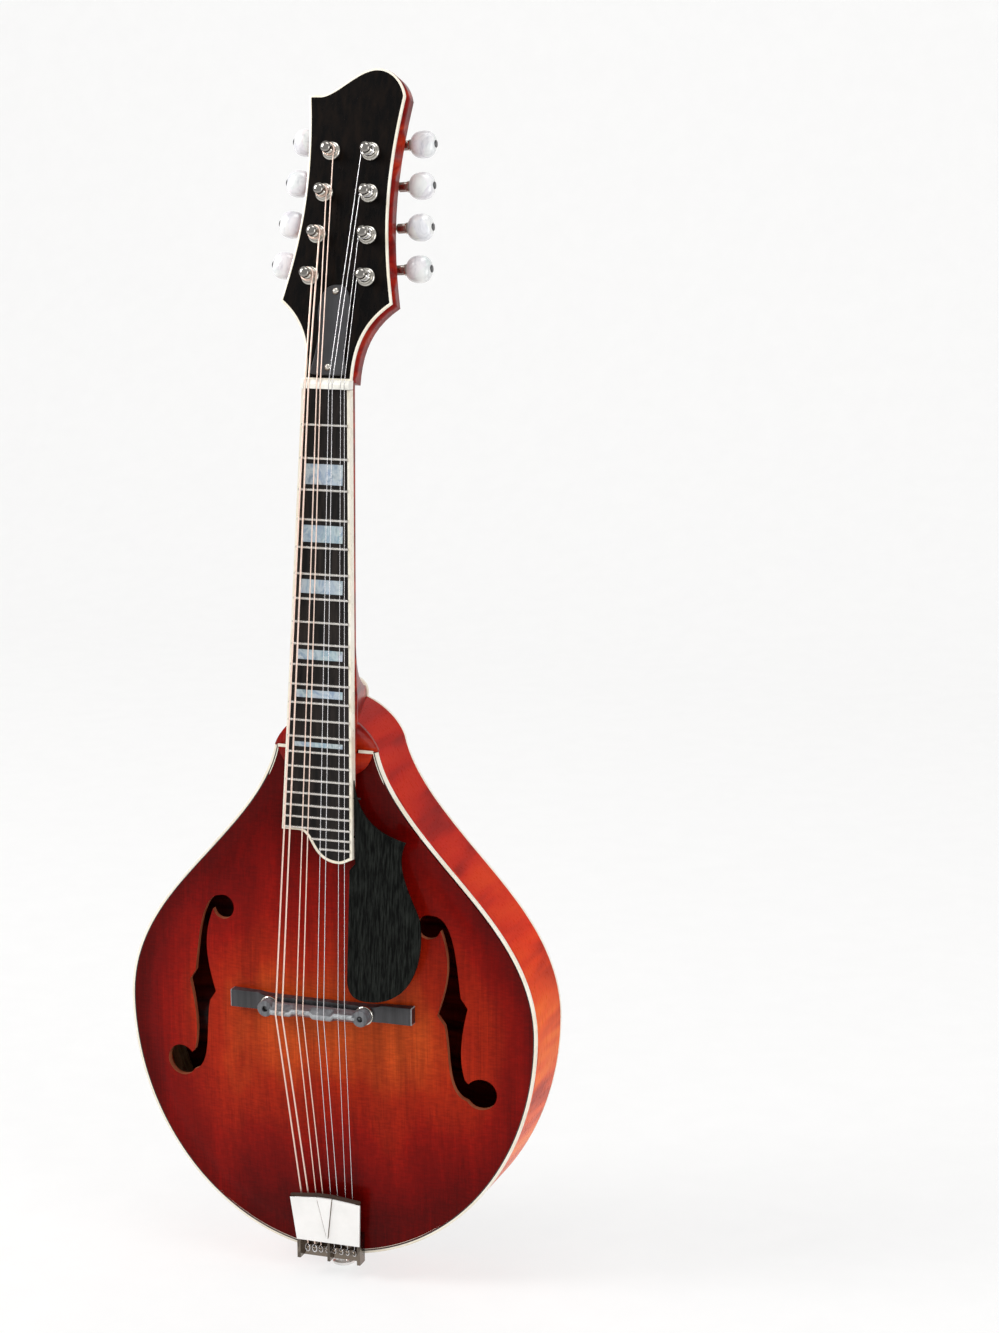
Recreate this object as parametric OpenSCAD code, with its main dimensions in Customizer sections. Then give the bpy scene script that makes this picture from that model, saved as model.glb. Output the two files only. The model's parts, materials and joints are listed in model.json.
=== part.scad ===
// Teardrop-bodied mandolin with arched plates and f-holes, a head that ends in one
// raised corner, a geared tuner for each string and a height-adjustable bridge.
// Stored upright: +Z up the body to the head, the playing face towards -Y and the
// treble side on +X. The origin is the point where a hanger holds the head.

/* [Strings and neck] */
// Vibrating length of the strings, nut to bridge
scale_length = 352.4; // [335:0.1:375]
// Extra string length at the bridge, which makes fretted notes true
compensation = 2; // [0:0.1:4]
// Width of the nut and of the fingerboard at the nut
nut_w = 28.6; // [27:0.1:32]
// Width of the fingerboard at the twelfth fret
board_w12 = 38.6; // [36:0.1:42]
// Thickness of the fingerboard
board_t = 5.5; // [4.5:0.1:7]
// How far the fingerboard's face stands in front of the body's edge at the joint
board_h = 10.8; // [9:0.1:13]
// How far the neck leans back
neck_angle = 5.33; // [4:0.01:7]
// Depth of the neck's wood behind the fingerboard
neck_d = 14.5; // [12:0.1:18]
// Height of the strings over the fingerboard at the nut
nut_action = 1.5; // [1:0.05:2.2]
// Height of the strings over the line of the fingerboard at the bridge
bridge_action = 5; // [4:0.1:6.5]

/* [Head] */
// How far the head leans back from the neck
head_angle = 12.5; // [10:0.1:16]
// Thickness of the head's maple
head_t = 12.2; // [11:0.1:14]
// Thickness of the black facing on the head
facing_t = 1.8; // [1:0.1:2.5]
// Distance between one post and the next along a tuner plate
post_gap = 23.84; // [22:0.01:26]
// Distance of the lowest posts from the nut
post_start = 63.7; // [60:0.1:68]
// Distance of the highest posts from the head's centre line
post_in = 11.8; // [10:0.1:13]
// Distance of the lowest posts from the head's centre line
post_out = 16.8; // [15:0.1:19]

/* [Body] */
// Width of the body
body_w = 252; // [230:1:270]
// Length of the body from the neck joint to its tail
body_l = 305; // [285:1:330]
// Width of the body at the neck joint
shoulder_w = 62.6; // [58:0.1:70]
// Depth of the sides between the two plates
side_d = 38; // [32:0.5:46]
// Thickness of each plate at its edge
edge_t = 4; // [3:0.1:5]
// Thickness of each plate's arch
plate_t = 3.4; // [2.6:0.1:4.5]
// Height of the front's arch over its edge
arch_front = 11; // [8:0.5:14]
// Height of the back's arch over its edge
arch_back = 12; // [8:0.5:14]
// Thickness of the sides
side_t = 2.4; // [1.8:0.1:3.2]
// Width of the edge binding
bind_w = 2; // [1.2:0.1:3]

/* [Bridge and tailpiece] */
// Length of the bridge's foot
bridge_l = 112; // [100:1:120]
// Distance between the bridge's two studs
stud_gap = 58.4; // [52:0.1:64]
// How far the saddle can be let down
saddle_drop = 1.5; // [0.5:0.1:1.6]
// Width of the tailpiece at its upper edge
tail_w = 44; // [40:0.5:48]

/* [Hidden] */
$fn = 48;

// Clearances
glue = 0.05;      // between glued faces that aren't flat
running = 0.05;   // radial, round a part that turns
seat = 0.1;       // between parts that only lie against each other

// ---- Curves -------------------------------------------------------------------
function bezier(p, t) = pow(1 - t, 3) * p[0] + 3 * pow(1 - t, 2) * t * p[1]
    + 3 * (1 - t) * t * t * p[2] + t * t * t * p[3];
// The points of a bezier, without its first point
function curve(p, steps) = [for (i = [1:steps]) bezier(p, i / steps)];
function mirrored(points) = [for (i = [len(points) - 1:-1:0]) [-points[i][0], points[i][1]]];

// A flat shape in the X-Z plane, given as [x, z] points, from y0 to y1
module slab(y0, y1) translate([0, y1, 0]) rotate([90, 0, 0]) linear_extrude(y1 - y0) children();
module box(low, high) translate(low) cube(high - low);
// A round bar along Y
module post_y(r, y0, y1) translate([0, y0, 0]) rotate([-90, 0, 0]) cylinder(r = r, h = y1 - y0);

// A solid through rings of points, with flat ends
module loft(rings) {
    n = len(rings[0]);
    last = len(rings) - 1;
    side = [for (i = [0:last - 1]) for (k = [0:n - 1]) for (half = [0, 1])
        let (a = i * n + k, b = i * n + (k + 1) % n)
        half == 0 ? [a, b, b + n] : [a, b + n, a + n]];
    ends = [[for (k = [n - 1:-1:0]) k], [for (k = [0:n - 1]) last * n + k]];
    polyhedron([for (ring = rings) each ring], concat(side, ends));
}
// Rings round a path, to be lofted
function unit(v) = v / norm(v);
function path_dir(p, i) = unit(p[min(i + 1, len(p) - 1)] - p[max(i - 1, 0)]);
function tube_rings(path, r, sides = 8) = [for (i = [0:len(path) - 1]) let (
        d = path_dir(path, i),
        u = unit(cross(d, abs(d[0]) < 0.8 ? [1, 0, 0] : [0, 1, 0])),
        v = cross(d, u))
    [for (k = [0:sides - 1]) path[i] + r * (cos(360 * k / sides) * u + sin(360 * k / sides) * v)]];

// ---- Places -------------------------------------------------------------------
joint_fret = 15;
fret_count = 23;
function fret_s(n) = scale_length * (1 - pow(2, -n / 12));
joint_s = fret_s(joint_fret);
head_gap = 5;       // thickness of the nut, where the head's face starts
head_drop = 3;      // the head's face behind the fingerboard's face
hanger_s = 12;      // the hanger's point over the nut
function lean(a, v) = [v[0], v[1] * cos(a) + v[2] * sin(a), -v[1] * sin(a) + v[2] * cos(a)];
nut_at = [0, -board_h + joint_s * sin(neck_angle), joint_s * cos(neck_angle)];
hanger_at = nut_at + lean(neck_angle, [0, head_drop, head_gap]
    + lean(head_angle, [0, (head_t + facing_t) / 2, hanger_s - head_gap]));

// Body: origin on the centre line at the neck joint, in the plane of the front's edge
module in_body() translate(-hanger_at) children();
// Neck: origin on the fingerboard's face at the nut, Z up the neck, Y into its wood
module neck_within_body() translate(nut_at) rotate([-neck_angle, 0, 0]) children();
module in_neck() in_body() neck_within_body() children();
// Head: the same, turned back with the head, and its face at y = 0
module in_head() in_neck() translate([0, head_drop, head_gap]) rotate([-head_angle, 0, 0])
    translate([0, 0, -head_gap]) children();
module neck_within_head() translate([0, 0, head_gap]) rotate([head_angle, 0, 0])
    translate([0, -head_drop, -head_gap]) children();
function neck_to_body(v) = nut_at + lean(neck_angle, v);
function head_to_body(v) = neck_to_body([0, head_drop, head_gap] + lean(head_angle, v - [0, 0, head_gap]));

plate_tilt = atan2(post_out - post_in, 3 * post_gap);
row_step = post_gap * cos(plate_tilt);
// Tuners 1 to 4 run up the bass side from the nut, 5 to 8 up the treble side
function tuner_side(i) = i <= 4 ? -1 : 1;
function tuner_row(i) = (i - 1) % 4;
function post_x(i) = tuner_side(i) * (post_out + (post_in - post_out) * tuner_row(i) / 3);
function post_s(i) = post_start + row_step * tuner_row(i);
module in_tuner(i) in_head() translate([post_x(i), 0, post_s(i)])
    rotate([0, -tuner_side(i) * plate_tilt, 0]) children();

// ---- Body outline -------------------------------------------------------------
kx = body_w / 252;
kz = body_l / 305;
widest_z = -160 * kz;
crown_z = 21.5;     // top of the sides, behind the neck's heel
half_outline = concat(
    [for (i = [0:20]) let (a = 90 * i / 20)
        [body_w / 2 * sin(a), widest_z - (body_l + widest_z) * cos(a)]],
    curve([[body_w / 2, widest_z], [126 * kx, -122 * kz], [102 * kx, -95 * kz], [80 * kx, -71 * kz]], 10),
    curve([[80 * kx, -71 * kz], [58 * kx, -47 * kz], [shoulder_w / 2 + 5, -24], [shoulder_w / 2, 0]], 10),
    curve([[shoulder_w / 2, 0], [28.5, 8], [20, 17], [8, crown_z]], 8));
outline = concat(half_outline, mirrored([for (i = [1:len(half_outline) - 1]) half_outline[i]]));
module body_shape(inset = 0) offset(delta = -inset) polygon(outline);
module below(z) intersection() { children(); translate([-200, z - 500]) square([400, 500]); }
module above(z) intersection() { children(); translate([-200, z]) square([400, 100]); }

button_r = 8.6;
button_z = 24.2;
module back_shape(inset = 0) offset(delta = -inset) union() {
    polygon(outline);
    translate([0, button_z]) circle(button_r);
    translate([-button_r, 0]) square([2 * button_r, button_z]);
}
back_y = 2 * edge_t + side_d;

// ---- Arches -------------------------------------------------------------------
// Each plate's arch is a barrel: an arc along the body, turned about a far axis.
arch_half_w = 112 * kx;
arch_half_l = 128 * kz;
arch_z = -157 * kz;
function arc_r(half, rise) = (half * half + rise * rise) / (2 * rise);
function arch_drop(z, rise) = let (r = arc_r(arch_half_l, rise)) r - sqrt(r * r - pow(z - arch_z, 2));
function arch_y(x, z, rise) = let (rx = arc_r(arch_half_w, rise), r = rx - arch_drop(z, rise))
    sqrt(r * r - x * x) - (rx - rise);
function front_y(x, z) = -arch_y(x, z, arch_front);
arch_steps = 20;
// All that lies behind the arch's skin, lowered by sink, bulging towards +Y
module barrel(rise, sink) {
    rx = arc_r(arch_half_w, rise);
    half = arch_half_l * 1.12;
    profile = concat(
        [for (i = [0:arch_steps]) let (z = arch_z - half + 2 * half * i / arch_steps)
            [rx - arch_drop(z, rise) - sink, z]],
        [[rx * 0.8, arch_z + half], [rx * 0.8, arch_z - half]]);
    translate([0, rise - rx, 0]) rotate([0, 0, 76]) rotate_extrude(angle = 28, $fn = 480) polygon(profile);
}
module front_arch(sink) mirror([0, 1, 0]) barrel(arch_front, sink);
module back_arch(sink) translate([0, back_y, 0]) barrel(arch_back, sink);

// ---- f-holes ------------------------------------------------------------------
eye_top = [63.5 * kx, -98 * kz];
eye_top_r = 7;
eye_low = [93.4 * kx, -195.5 * kz];
eye_low_r = 9.3;
module f_hole(side) scale([side, 1]) {
    translate(eye_top) circle(eye_top_r);
    translate(eye_low) circle(eye_low_r);
    polygon([for (p = f_stem) [p[0] * kx, p[1] * kz]]);
}
f_stem = concat([[63.5, -91.1]],
    curve([[63.5, -91.1], [79, -89], [80, -124], [86.3, -144.4]], 9),
    curve([[86.3, -144.4], [82, -162], [80.5, -178], [84.6, -191.3]], 7),
    [[93.4, -195.5], [91.6, -204.6]],
    curve([[91.6, -204.6], [70, -205], [77, -168], [68.7, -149.4]], 9),
    curve([[68.7, -149.4], [75, -130], [78, -118], [69.8, -99.8]], 7));

module soundboard() color("sienna") in_body() difference() {
    intersection() {
        slab(-arch_front - 1, edge_t) below(0) body_shape(bind_w + glue);
        union() {
            box([-200, 0, -400], [200, edge_t, 0]);
            front_arch(0);
        }
    }
    front_arch(plate_t);
    for (side = [-1, 1]) slab(-arch_front - 2, edge_t + 1) f_hole(side);
}

module back_plate() color("firebrick") in_body() difference() {
    intersection() {
        slab(back_y - edge_t, back_y + arch_back + 1) back_shape(bind_w + glue);
        union() {
            box([-200, back_y - edge_t, -400], [200, back_y, 60]);
            back_arch(0);
        }
    }
    back_arch(plate_t);
}

// The heel narrows from the fingerboard's width to the back's button
heel_w0 = 42;
heel_w1 = 2 * button_r;
function heel_half(y) = (heel_w0 + (heel_w1 - heel_w0) * max(0, y + 6) / (edge_t + side_d + 6)) / 2;
heel_y = edge_t + side_d;
module heel_wedge(gap, z0, z1) translate([0, 0, z0]) linear_extrude(z1 - z0)
    polygon([for (p = [[1, -8], [1, -6], [1, heel_y + 1], [-1, heel_y + 1], [-1, -6], [-1, -8]])
        [p[0] * (heel_half(p[1]) + gap), p[1]]]);

module rim() color("orangered") in_body() difference() {
    slab(edge_t, edge_t + side_d) difference() {
        body_shape();
        body_shape(side_t);
    }
    heel_wedge(glue, -0.5, 60);
    translate([0, pin_y, -body_l - 5]) cylinder(r = pin_hole_r, h = 20);
    flange_screw_holes();
}

module top_binding() color("ivory") in_body() {
    slab(0, edge_t) below(0) difference() {
        body_shape();
        body_shape(bind_w);
    }
    for (side = [-1, 1]) box(
        [side > 0 ? joint_line_x : -shoulder_w / 2 + bind_w + seat, -0.8, -0.9],
        [side > 0 ? shoulder_w / 2 - bind_w - seat : -joint_line_x, -glue, 0.9]);
}
joint_line_x = board_half(joint_s) + seat;

module back_binding() color("ivory") in_body() slab(back_y - edge_t, back_y) difference() {
    back_shape();
    back_shape(bind_w);
}

lining_w = 5;
lining_h = 10;
block_z = -30;      // inner face of the neck block
tail_block_z = -body_l + 24;
module linings() color("burlywood") in_body()
    for (y = [edge_t, edge_t + side_d - lining_h]) slab(y, y + lining_h) intersection() {
        difference() {
            body_shape(side_t + glue);
            body_shape(side_t + lining_w);
        }
        translate([-200, tail_block_z + seat]) square([400, block_z - tail_block_z - 2 * seat]);
    }

tenon_w = 20;
tenon_z = -22;
module neck_block() color("tan") in_body() difference() {
    slab(edge_t, edge_t + side_d) intersection() {
        body_shape(side_t + glue);
        translate([-100, block_z]) square([200, 100]);
    }
    heel_wedge(glue, -0.5, 60);
    box([-tenon_w / 2 - glue, edge_t - 1, tenon_z - glue],
        [tenon_w / 2 + glue, edge_t + side_d - 6 + glue, 1]);
}

module end_block() color("tan") in_body() difference() {
    slab(edge_t, edge_t + side_d) intersection() {
        body_shape(side_t + glue);
        translate([-34, -body_l]) square([68, tail_block_z + body_l]);
    }
    translate([0, pin_y, -body_l - 5]) cylinder(r = pin_hole_r, h = 40);
    flange_screw_holes();
}

bar_x = 27;
bar_w = 6;
bar_h = 9;
module tone_bars() color("wheat") in_body() for (side = [-1, 1]) intersection() {
    translate([side * bar_x * kx, 0, arch_z]) rotate([0, side * 6, 0])
        box([-bar_w / 2, -arch_front, -95 * kz], [bar_w / 2, -arch_front + plate_t + bar_h, 88 * kz]);
    front_arch(plate_t + glue);
}

// ---- Neck ---------------------------------------------------------------------
function board_half(s) = nut_w / 2 + (board_w12 - nut_w) / 2 * s / (scale_length / 2);
sweep_z = 60;       // the heel's curve starts here
button_top = button_z + button_r;
flat_at = 0.8;      // share of a heel ring's depth where its sides end
function heel_blend(z) = min(1, max(0, (sweep_z - z) / (sweep_z - button_top)));
function wood_depth(s) = let (
        y = neck_to_body([0, board_t, -s])[1],
        k = heel_blend(neck_to_body([0, 0, -s])[2]),
        full = (heel_y - glue - y) / cos(neck_angle))
    neck_d + (full - neck_d) * (1 - sqrt(1 - k * k));
// One point of a ring, at angle a: a rounded D on the shaft and a wedge at the heel
function ring_point(s, a) = let (
        half = board_half(s) - 0.15, depth = wood_depth(s),
        k = heel_blend(neck_to_body([0, 0, -s])[2]),
        shaft = [half * cos(a), depth * pow(sin(a), 0.9)],
        lift = min(1, sin(a) / flat_at),
        y = lift * depth,
        body_y = neck_to_body([0, board_t + y, -s])[1],
        side = heel_half(body_y) - 0.1,
        edge = sqrt(1 - flat_at * flat_at),
        wedge = [lift < 1 ? sign(cos(a)) * min(side, half + 4) : side * cos(a) / edge, y])
    let (p = shaft * (1 - k) + wedge * k) [p[0], board_t + p[1], -s];
ring_steps = 24;
function ring(s) = [for (i = [0:ring_steps]) ring_point(s, 180 * i / ring_steps)];
sweep_s = joint_s - (sweep_z / cos(neck_angle));
button_s = joint_s - (button_top / cos(neck_angle)) + 2.2;
shaft_stops = [-11, 0, 40, 80, 120];
heel_steps = 9;

module head_shape(inset = 0) offset(delta = -inset) polygon(head_outline);
head_horn = [33.4, 49.2];
head_corner = [28.9, 167];
head_peak = [10.8, 182.8];
head_side = concat([[nut_w / 2, head_gap]],
    curve([[nut_w / 2, head_gap], [13.6, 24], [18, 38], head_horn], 10),
    curve([head_horn, [25, 86], [22, 118], head_corner], 12));
head_outline = concat(head_side,
    curve([head_corner, [27, 175], [20, head_peak[1]], head_peak], 8),
    curve([head_peak, [-1, head_peak[1]], [-12, 168.5], [-21.2, 167.1]], 10),
    mirrored(head_side));

rod_r = 2.5;
rod_y = board_t + 5.5;
rod_end = joint_s - 8;
pocket_d = 11.5;
nut_pocket_low = 13.6;
nut_pocket_top = 36;
module neck() color("orangered") {
    difference() {
        union() {
            in_neck() loft(concat([for (s = shaft_stops) ring(s)],
                [for (i = [0:heel_steps]) ring(sweep_s + (button_s - sweep_s) * sin(90 * i / heel_steps))],
                [ring(joint_s + 6)]));
            in_head() slab(facing_t, facing_t + head_t) head_shape();
            in_body() slab(glue, edge_t - glue) above(0) body_shape();
        }
        in_body() box([-100, -40, -50], [100, 100, 0]);
        in_neck() box([-60, -60, -joint_s - 60], [60, board_t, -joint_s + 40]);
        in_neck() box([-40, -10, 0], [40, board_t, head_gap]);
        in_head() box([-60, -20, head_gap - 0.5], [60, facing_t, 200]);
        in_neck() box([-rod_r - 0.6, board_t - 1, -rod_end],
            [rod_r + 0.6, rod_y + rod_r + 0.5, nut_pocket_low]);
        in_head() box([-6, -1, nut_pocket_low - 0.5], [6, pocket_d, nut_pocket_top]);
        in_head() for (i = [1:8]) translate([post_x(i), 0, post_s(i)]) post_y(bushing_r + running, -1, 40);
        for (side = [-1, 1]) in_plate(side) for (s = plate_screws) translate([0, 0, s])
            post_y(screw_hole_r, facing_t + head_t - 8, facing_t + head_t + 1);
        in_head() for (s = cover_screws_s) translate([0, 0, s]) post_y(screw_hole_r, -1, facing_t + 5);
    }
    in_body() box([-tenon_w / 2, edge_t, tenon_z], [tenon_w / 2, edge_t + side_d - 6, 0]);
}

module headplate() color("black") in_head() difference() {
    slab(0, facing_t) head_shape(bind_w - 0.2 + glue);
    box([-6, -1, nut_pocket_low - 0.5], [6, pocket_d, nut_pocket_top]);
    for (i = [1:8]) translate([post_x(i), 0, post_s(i)]) post_y(bushing_r + running, -1, 40);
    for (s = cover_screws_s) translate([0, 0, s]) post_y(screw_hole_r, -1, facing_t + 5);
    neck_within_head() box([-40, -10, -1], [40, board_t, head_gap]);
}
module head_binding() color("ivory") in_head() difference() {
    slab(0, facing_t) difference() {
        head_shape();
        head_shape(bind_w - 0.2);
    }
    neck_within_head() box([-40, -10, -1], [40, board_t, head_gap]);
}

// ---- Fingerboard --------------------------------------------------------------
board_end = joint_s + 45;       // its left corner
board_tip = joint_s + 62;       // the lowest point of its curved end
end_curve = concat(
    [[-board_half(board_end), -board_end], [-11, -board_end]],
    curve([[-11, -board_end], [-2, -board_end], [-4, -board_tip - 0.5], [14, -board_tip - 0.5]], 10),
    curve([[14, -board_tip - 0.5], [17, -board_tip - 0.3], [19, -board_tip + 1.5],
        [board_half(board_tip), -board_tip + 2.5]], 5));
board_outline = concat([[nut_w / 2, 0], [-nut_w / 2, 0]], end_curve);
module board_shape(inset = 0) offset(delta = -inset) polygon(board_outline);
board_bind = 2.2;
block_depth = 1;
block_frets = [2, 4, 6, 9, 11, 14];
function block_top(n) = fret_s(n) + 3;
function block_low(n) = fret_s(n + 1) - 3;
module blocks(gap) for (n = block_frets) {
    half = board_half(fret_s(n)) * 0.74 + gap;
    box([-half, -1, -block_low(n) - gap], [half, block_depth + gap, -block_top(n) + gap]);
}
module fingerboard() color("black") in_neck() difference() {
    slab(0, board_t) board_shape(board_bind + glue);
    blocks(glue);
    for (side = [-1, 1]) mounting_pin(side, pin_fit);
}
module fingerboard_binding() color("ivory") in_neck() difference() {
    slab(0, board_t) difference() {
        board_shape();
        board_shape(board_bind);
        translate([-nut_w, -0.01]) square([2 * nut_w, 10]);
    }
    for (side = [-1, 1]) mounting_pin(side, pin_fit);
}
module position_blocks() color("lightblue") in_neck() intersection() {
    blocks(0);
    box([-40, 0, -400], [40, 20, 10]);
}
fret_h = 1.1;
fret_half = 1;
function fret_left(n) = n < 22 ? -board_half(fret_s(n)) + 0.3 : (n == 22 ? -3 : 2);
module frets() color("silver") in_neck() for (n = [1:fret_count]) {
    left = fret_left(n);
    right = board_half(fret_s(n)) - 0.3;
    translate([left, -glue / 5, -fret_s(n)]) rotate([90, 0, 90]) linear_extrude(right - left)
        polygon([for (a = [0:22.5:180]) [-fret_h * sin(a), fret_half * cos(a)]]);
}

riser_low = joint_s + 46;
module fingerboard_riser() color("orangered") in_body() difference() {
    union() {
        neck_within_body() box([-board_half(joint_s) + 1.5, board_t + glue, -riser_low],
            [board_half(joint_s) - 1.5, 40, 0]);
        slab(-0.9, 10) polygon(concat([[-29, -1.2], [29, -1.2]],
            curve([[29, -1.2], [27, -8], [23, -12], [18, -14]], 5), [[-18, -14]],
            curve([[-18, -14], [-23, -12], [-27, -8], [-29, -1.2]], 5)));
    }
    box([-100, -100, -1.1], [100, 100, 300]);
    box([-100, -glue, -400], [100, 200, 300]);
    front_arch(-glue);
}

// ---- Nut and truss rod --------------------------------------------------------
pair_gap_nut = 2.2;
course_nut = 7.15;
pair_gap_bridge = 4;
course_bridge = 12.8;
pair_gap_tail = 4.4;
course_tail = 8.4;
// Strings 1 to 8 run from the bass side to the treble side, two to a course
function string_x(i, course, pair) = (floor((i - 1) / 2) - 1.5) * course + ((i - 1) % 2 - 0.5) * pair;
string_r = [0.5, 0.5, 0.33, 0.33, 0.2, 0.2, 0.15, 0.15];
function string_radius(i) = string_r[i - 1];
nut_top = nut_action + 0.25;
module nut() color("white") in_neck() difference() {
    translate([-nut_w / 2, 0, 0]) rotate([90, 0, 90]) linear_extrude(nut_w)
        polygon([[board_t, 0.02], [-nut_top, 0.02], [-nut_top, 2.6], [-nut_top + 1.1, head_gap - glue],
            [board_t, head_gap - glue]]);
    for (i = [1:8]) translate([string_x(i, course_nut, pair_gap_nut), -nut_action, 0]) {
        cylinder(r = string_radius(i) + 0.12, h = 20, center = true, $fn = 16);
        box([-string_radius(i) - 0.12, -3, -10], [string_radius(i) + 0.12, 0, 10]);
    }
}
module truss_rod() color("dimgray") in_neck() translate([0, rod_y, -rod_end + 1])
    cylinder(r = rod_r, h = rod_end - 1 + rod_nut_s + 4 - running);
rod_nut_r = 3.6;
rod_nut_s = 14.5;     // where it sits over the nut
module truss_rod_nut() color("goldenrod") in_neck() translate([0, rod_y, rod_nut_s]) difference() {
    cylinder(r = rod_nut_r, h = 6.5, $fn = 6);
    translate([0, 0, -1]) cylinder(r = rod_r + running, h = 5.05);
    translate([0, 0, 3.9]) cylinder(r = 2, h = 6, $fn = 6);
}
cover_t = 1.6;
cover_low = 8.6;
cover_top = 59;
cover_screws_s = [12, 55];
cover_half = concat([[11.2, cover_low]],
    curve([[11.2, cover_low], [8.2, 20], [7.4, 30], [9.4, 40]], 8),
    curve([[9.4, 40], [10.6, 50], [8, cover_top], [0, cover_top]], 8));
module truss_rod_cover() color("dimgray") in_head() difference() {
    slab(-cover_t, -0.02)
        polygon(concat(cover_half, mirrored([for (i = [0:len(cover_half) - 2]) cover_half[i]])));
    for (s = cover_screws_s) translate([0, 0, s]) post_y(screw_r + 0.1, -5, 5);
}

// ---- Screws -------------------------------------------------------------------
screw_r = 1.1;
screw_hole_r = 1.15;
screw_head_r = 1.9;
// A round-headed wood screw along -Y, its head's underside at y = 0
module wood_screw(length) {
    post_y(screw_r, -0.3, length);
    difference() {
        translate([0, 0.6, 0]) intersection() {
            sphere(r = screw_head_r + 0.25);
            box([-3, -3, -3], [3, -0.62, 3]);
        }
        box([-3, -3, -0.2], [3, -0.95, 0.2]);
    }
}
module wood_screws() color("silver") {
    in_head() for (s = cover_screws_s) translate([0, -cover_t, s]) wood_screw(cover_t + 2);
    for (side = [-1, 1]) in_plate(side) for (s = plate_screws)
        translate([0, facing_t + head_t + tuner_plate_t, s]) mirror([0, 1, 0]) wood_screw(tuner_plate_t + 7);
    in_body() for (side = [-1, 1]) translate([side * flange_screw_x, flange_screw_y, -flange_z1])
        rotate([90, 0, 0]) wood_screw(12);
}

// ---- Tuners -------------------------------------------------------------------
bushing_r = 4.1;
post_r = 3;
back_of_head = facing_t + head_t;
tuner_plate_t = 1.2;
gear_teeth = 15;
worm_pitch = 2.2;
gear_pitch_r = gear_teeth * worm_pitch / (2 * PI);
worm_pitch_r = 2.6;
tooth_up = 0.5;
tooth_down = 0.8;
worm_s = gear_pitch_r + worm_pitch_r;
worm_l = 10;
shaft_r = 1.3;
worm_y = back_of_head + tuner_plate_t + worm_pitch_r + tooth_up + 0.4;
gear_t = 3;
ear_in = worm_l / 2 + 0.15;
ear_t = 1.8;
button_x = 24.2;
button_size = 15;
plate_screws = [for (k = [0:4]) -8 + post_gap * k];

module tuner_bushings() color("silver") in_head() for (i = [1:8]) translate([post_x(i), 0, post_s(i)])
    difference() {
        union() {
            post_y(bushing_r, -1, 8);
            translate([0, -1.6, 0]) rotate([-90, 0, 0])
                cylinder(r1 = bushing_r, r2 = bushing_r + 1, h = 1.58);
        }
        post_y(post_r + running, -5, 20);
    }

// Everything on one tuner plate, measured from the plate's lowest post
module in_plate(side) in_tuner(side < 0 ? 1 : 5) children();
plate_half = 6.6;
module tuner_plate(side) in_plate(side) difference() {
    union() {
        slab(back_of_head + 0.02, back_of_head + tuner_plate_t) polygon(plate_outline);
        for (k = [0:3]) translate([0, 0, post_gap * k + worm_s]) for (x = [-ear_in - ear_t, ear_in]) ear(x);
    }
    for (k = [0:3]) translate([0, 0, post_gap * k]) {
        post_y(post_r + running, 0, 40);
        translate([-20, worm_y, worm_s]) rotate([0, 90, 0]) cylinder(r = shaft_r + running, h = 40);
    }
    for (s = plate_screws) translate([0, 0, s]) post_y(screw_hole_r, 0, 40);
}
plate_low = -15;
plate_top = 3 * post_gap + 24;
plate_half_outline = concat([[0, plate_low]],
    curve([[0, plate_low], [3, plate_low + 2], [2.5, plate_low + 5], [plate_half, plate_low + 8]], 6),
    [[plate_half, plate_top - 8]],
    curve([[plate_half, plate_top - 8], [2.5, plate_top - 5], [3, plate_top - 2], [0, plate_top]], 6));
plate_outline = concat(plate_half_outline,
    mirrored([for (i = [1:len(plate_half_outline) - 2]) plate_half_outline[i]]));
module ear(x) {
    box([x, back_of_head + tuner_plate_t - 0.2, -2.5], [x + ear_t, worm_y, 2.5]);
    translate([x, worm_y, 0]) rotate([0, 90, 0]) cylinder(r = 2.5, h = ear_t);
}
module tuner_plate_bass() color("silver") tuner_plate(-1);
module tuner_plate_treble() color("silver") tuner_plate(1);

// Worm: a helix of teeth on a shaft along X, and the shaft's plain length to the button
worm_sides = 12;
function tooth_profile(f) = let (g = abs(f - floor(f) - 0.5)) min(1, max(0, (g - 0.27) / 0.12));
function worm_r(x, a) = let (f = x / worm_pitch - a / 360)
    worm_pitch_r - tooth_down + (tooth_up + tooth_down) * tooth_profile(f)
    * (abs(x) > worm_l / 2 - 0.2 ? 0 : 1);
worm_xs = [for (i = [-18:18]) i * worm_l / 36];
collar_x = 10.6;
collar_l = 5.4;
collar_r = 2.5;
shaft_in = ear_in + ear_t + 0.6;    // the shaft's inner end
shaft_out = button_x + 4;           // and its outer end, inside the button
// The whole worm as rings of [x, radius or -1 for the thread's own radius]
worm_stations = concat([[-shaft_in, shaft_r], [-worm_l / 2, shaft_r]],
    [for (x = worm_xs) [x, -1]],
    [[worm_l / 2, shaft_r], [collar_x, shaft_r], [collar_x, collar_r], [collar_x + collar_l, collar_r],
     [collar_x + collar_l, shaft_r], [shaft_out, shaft_r]]);
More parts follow.
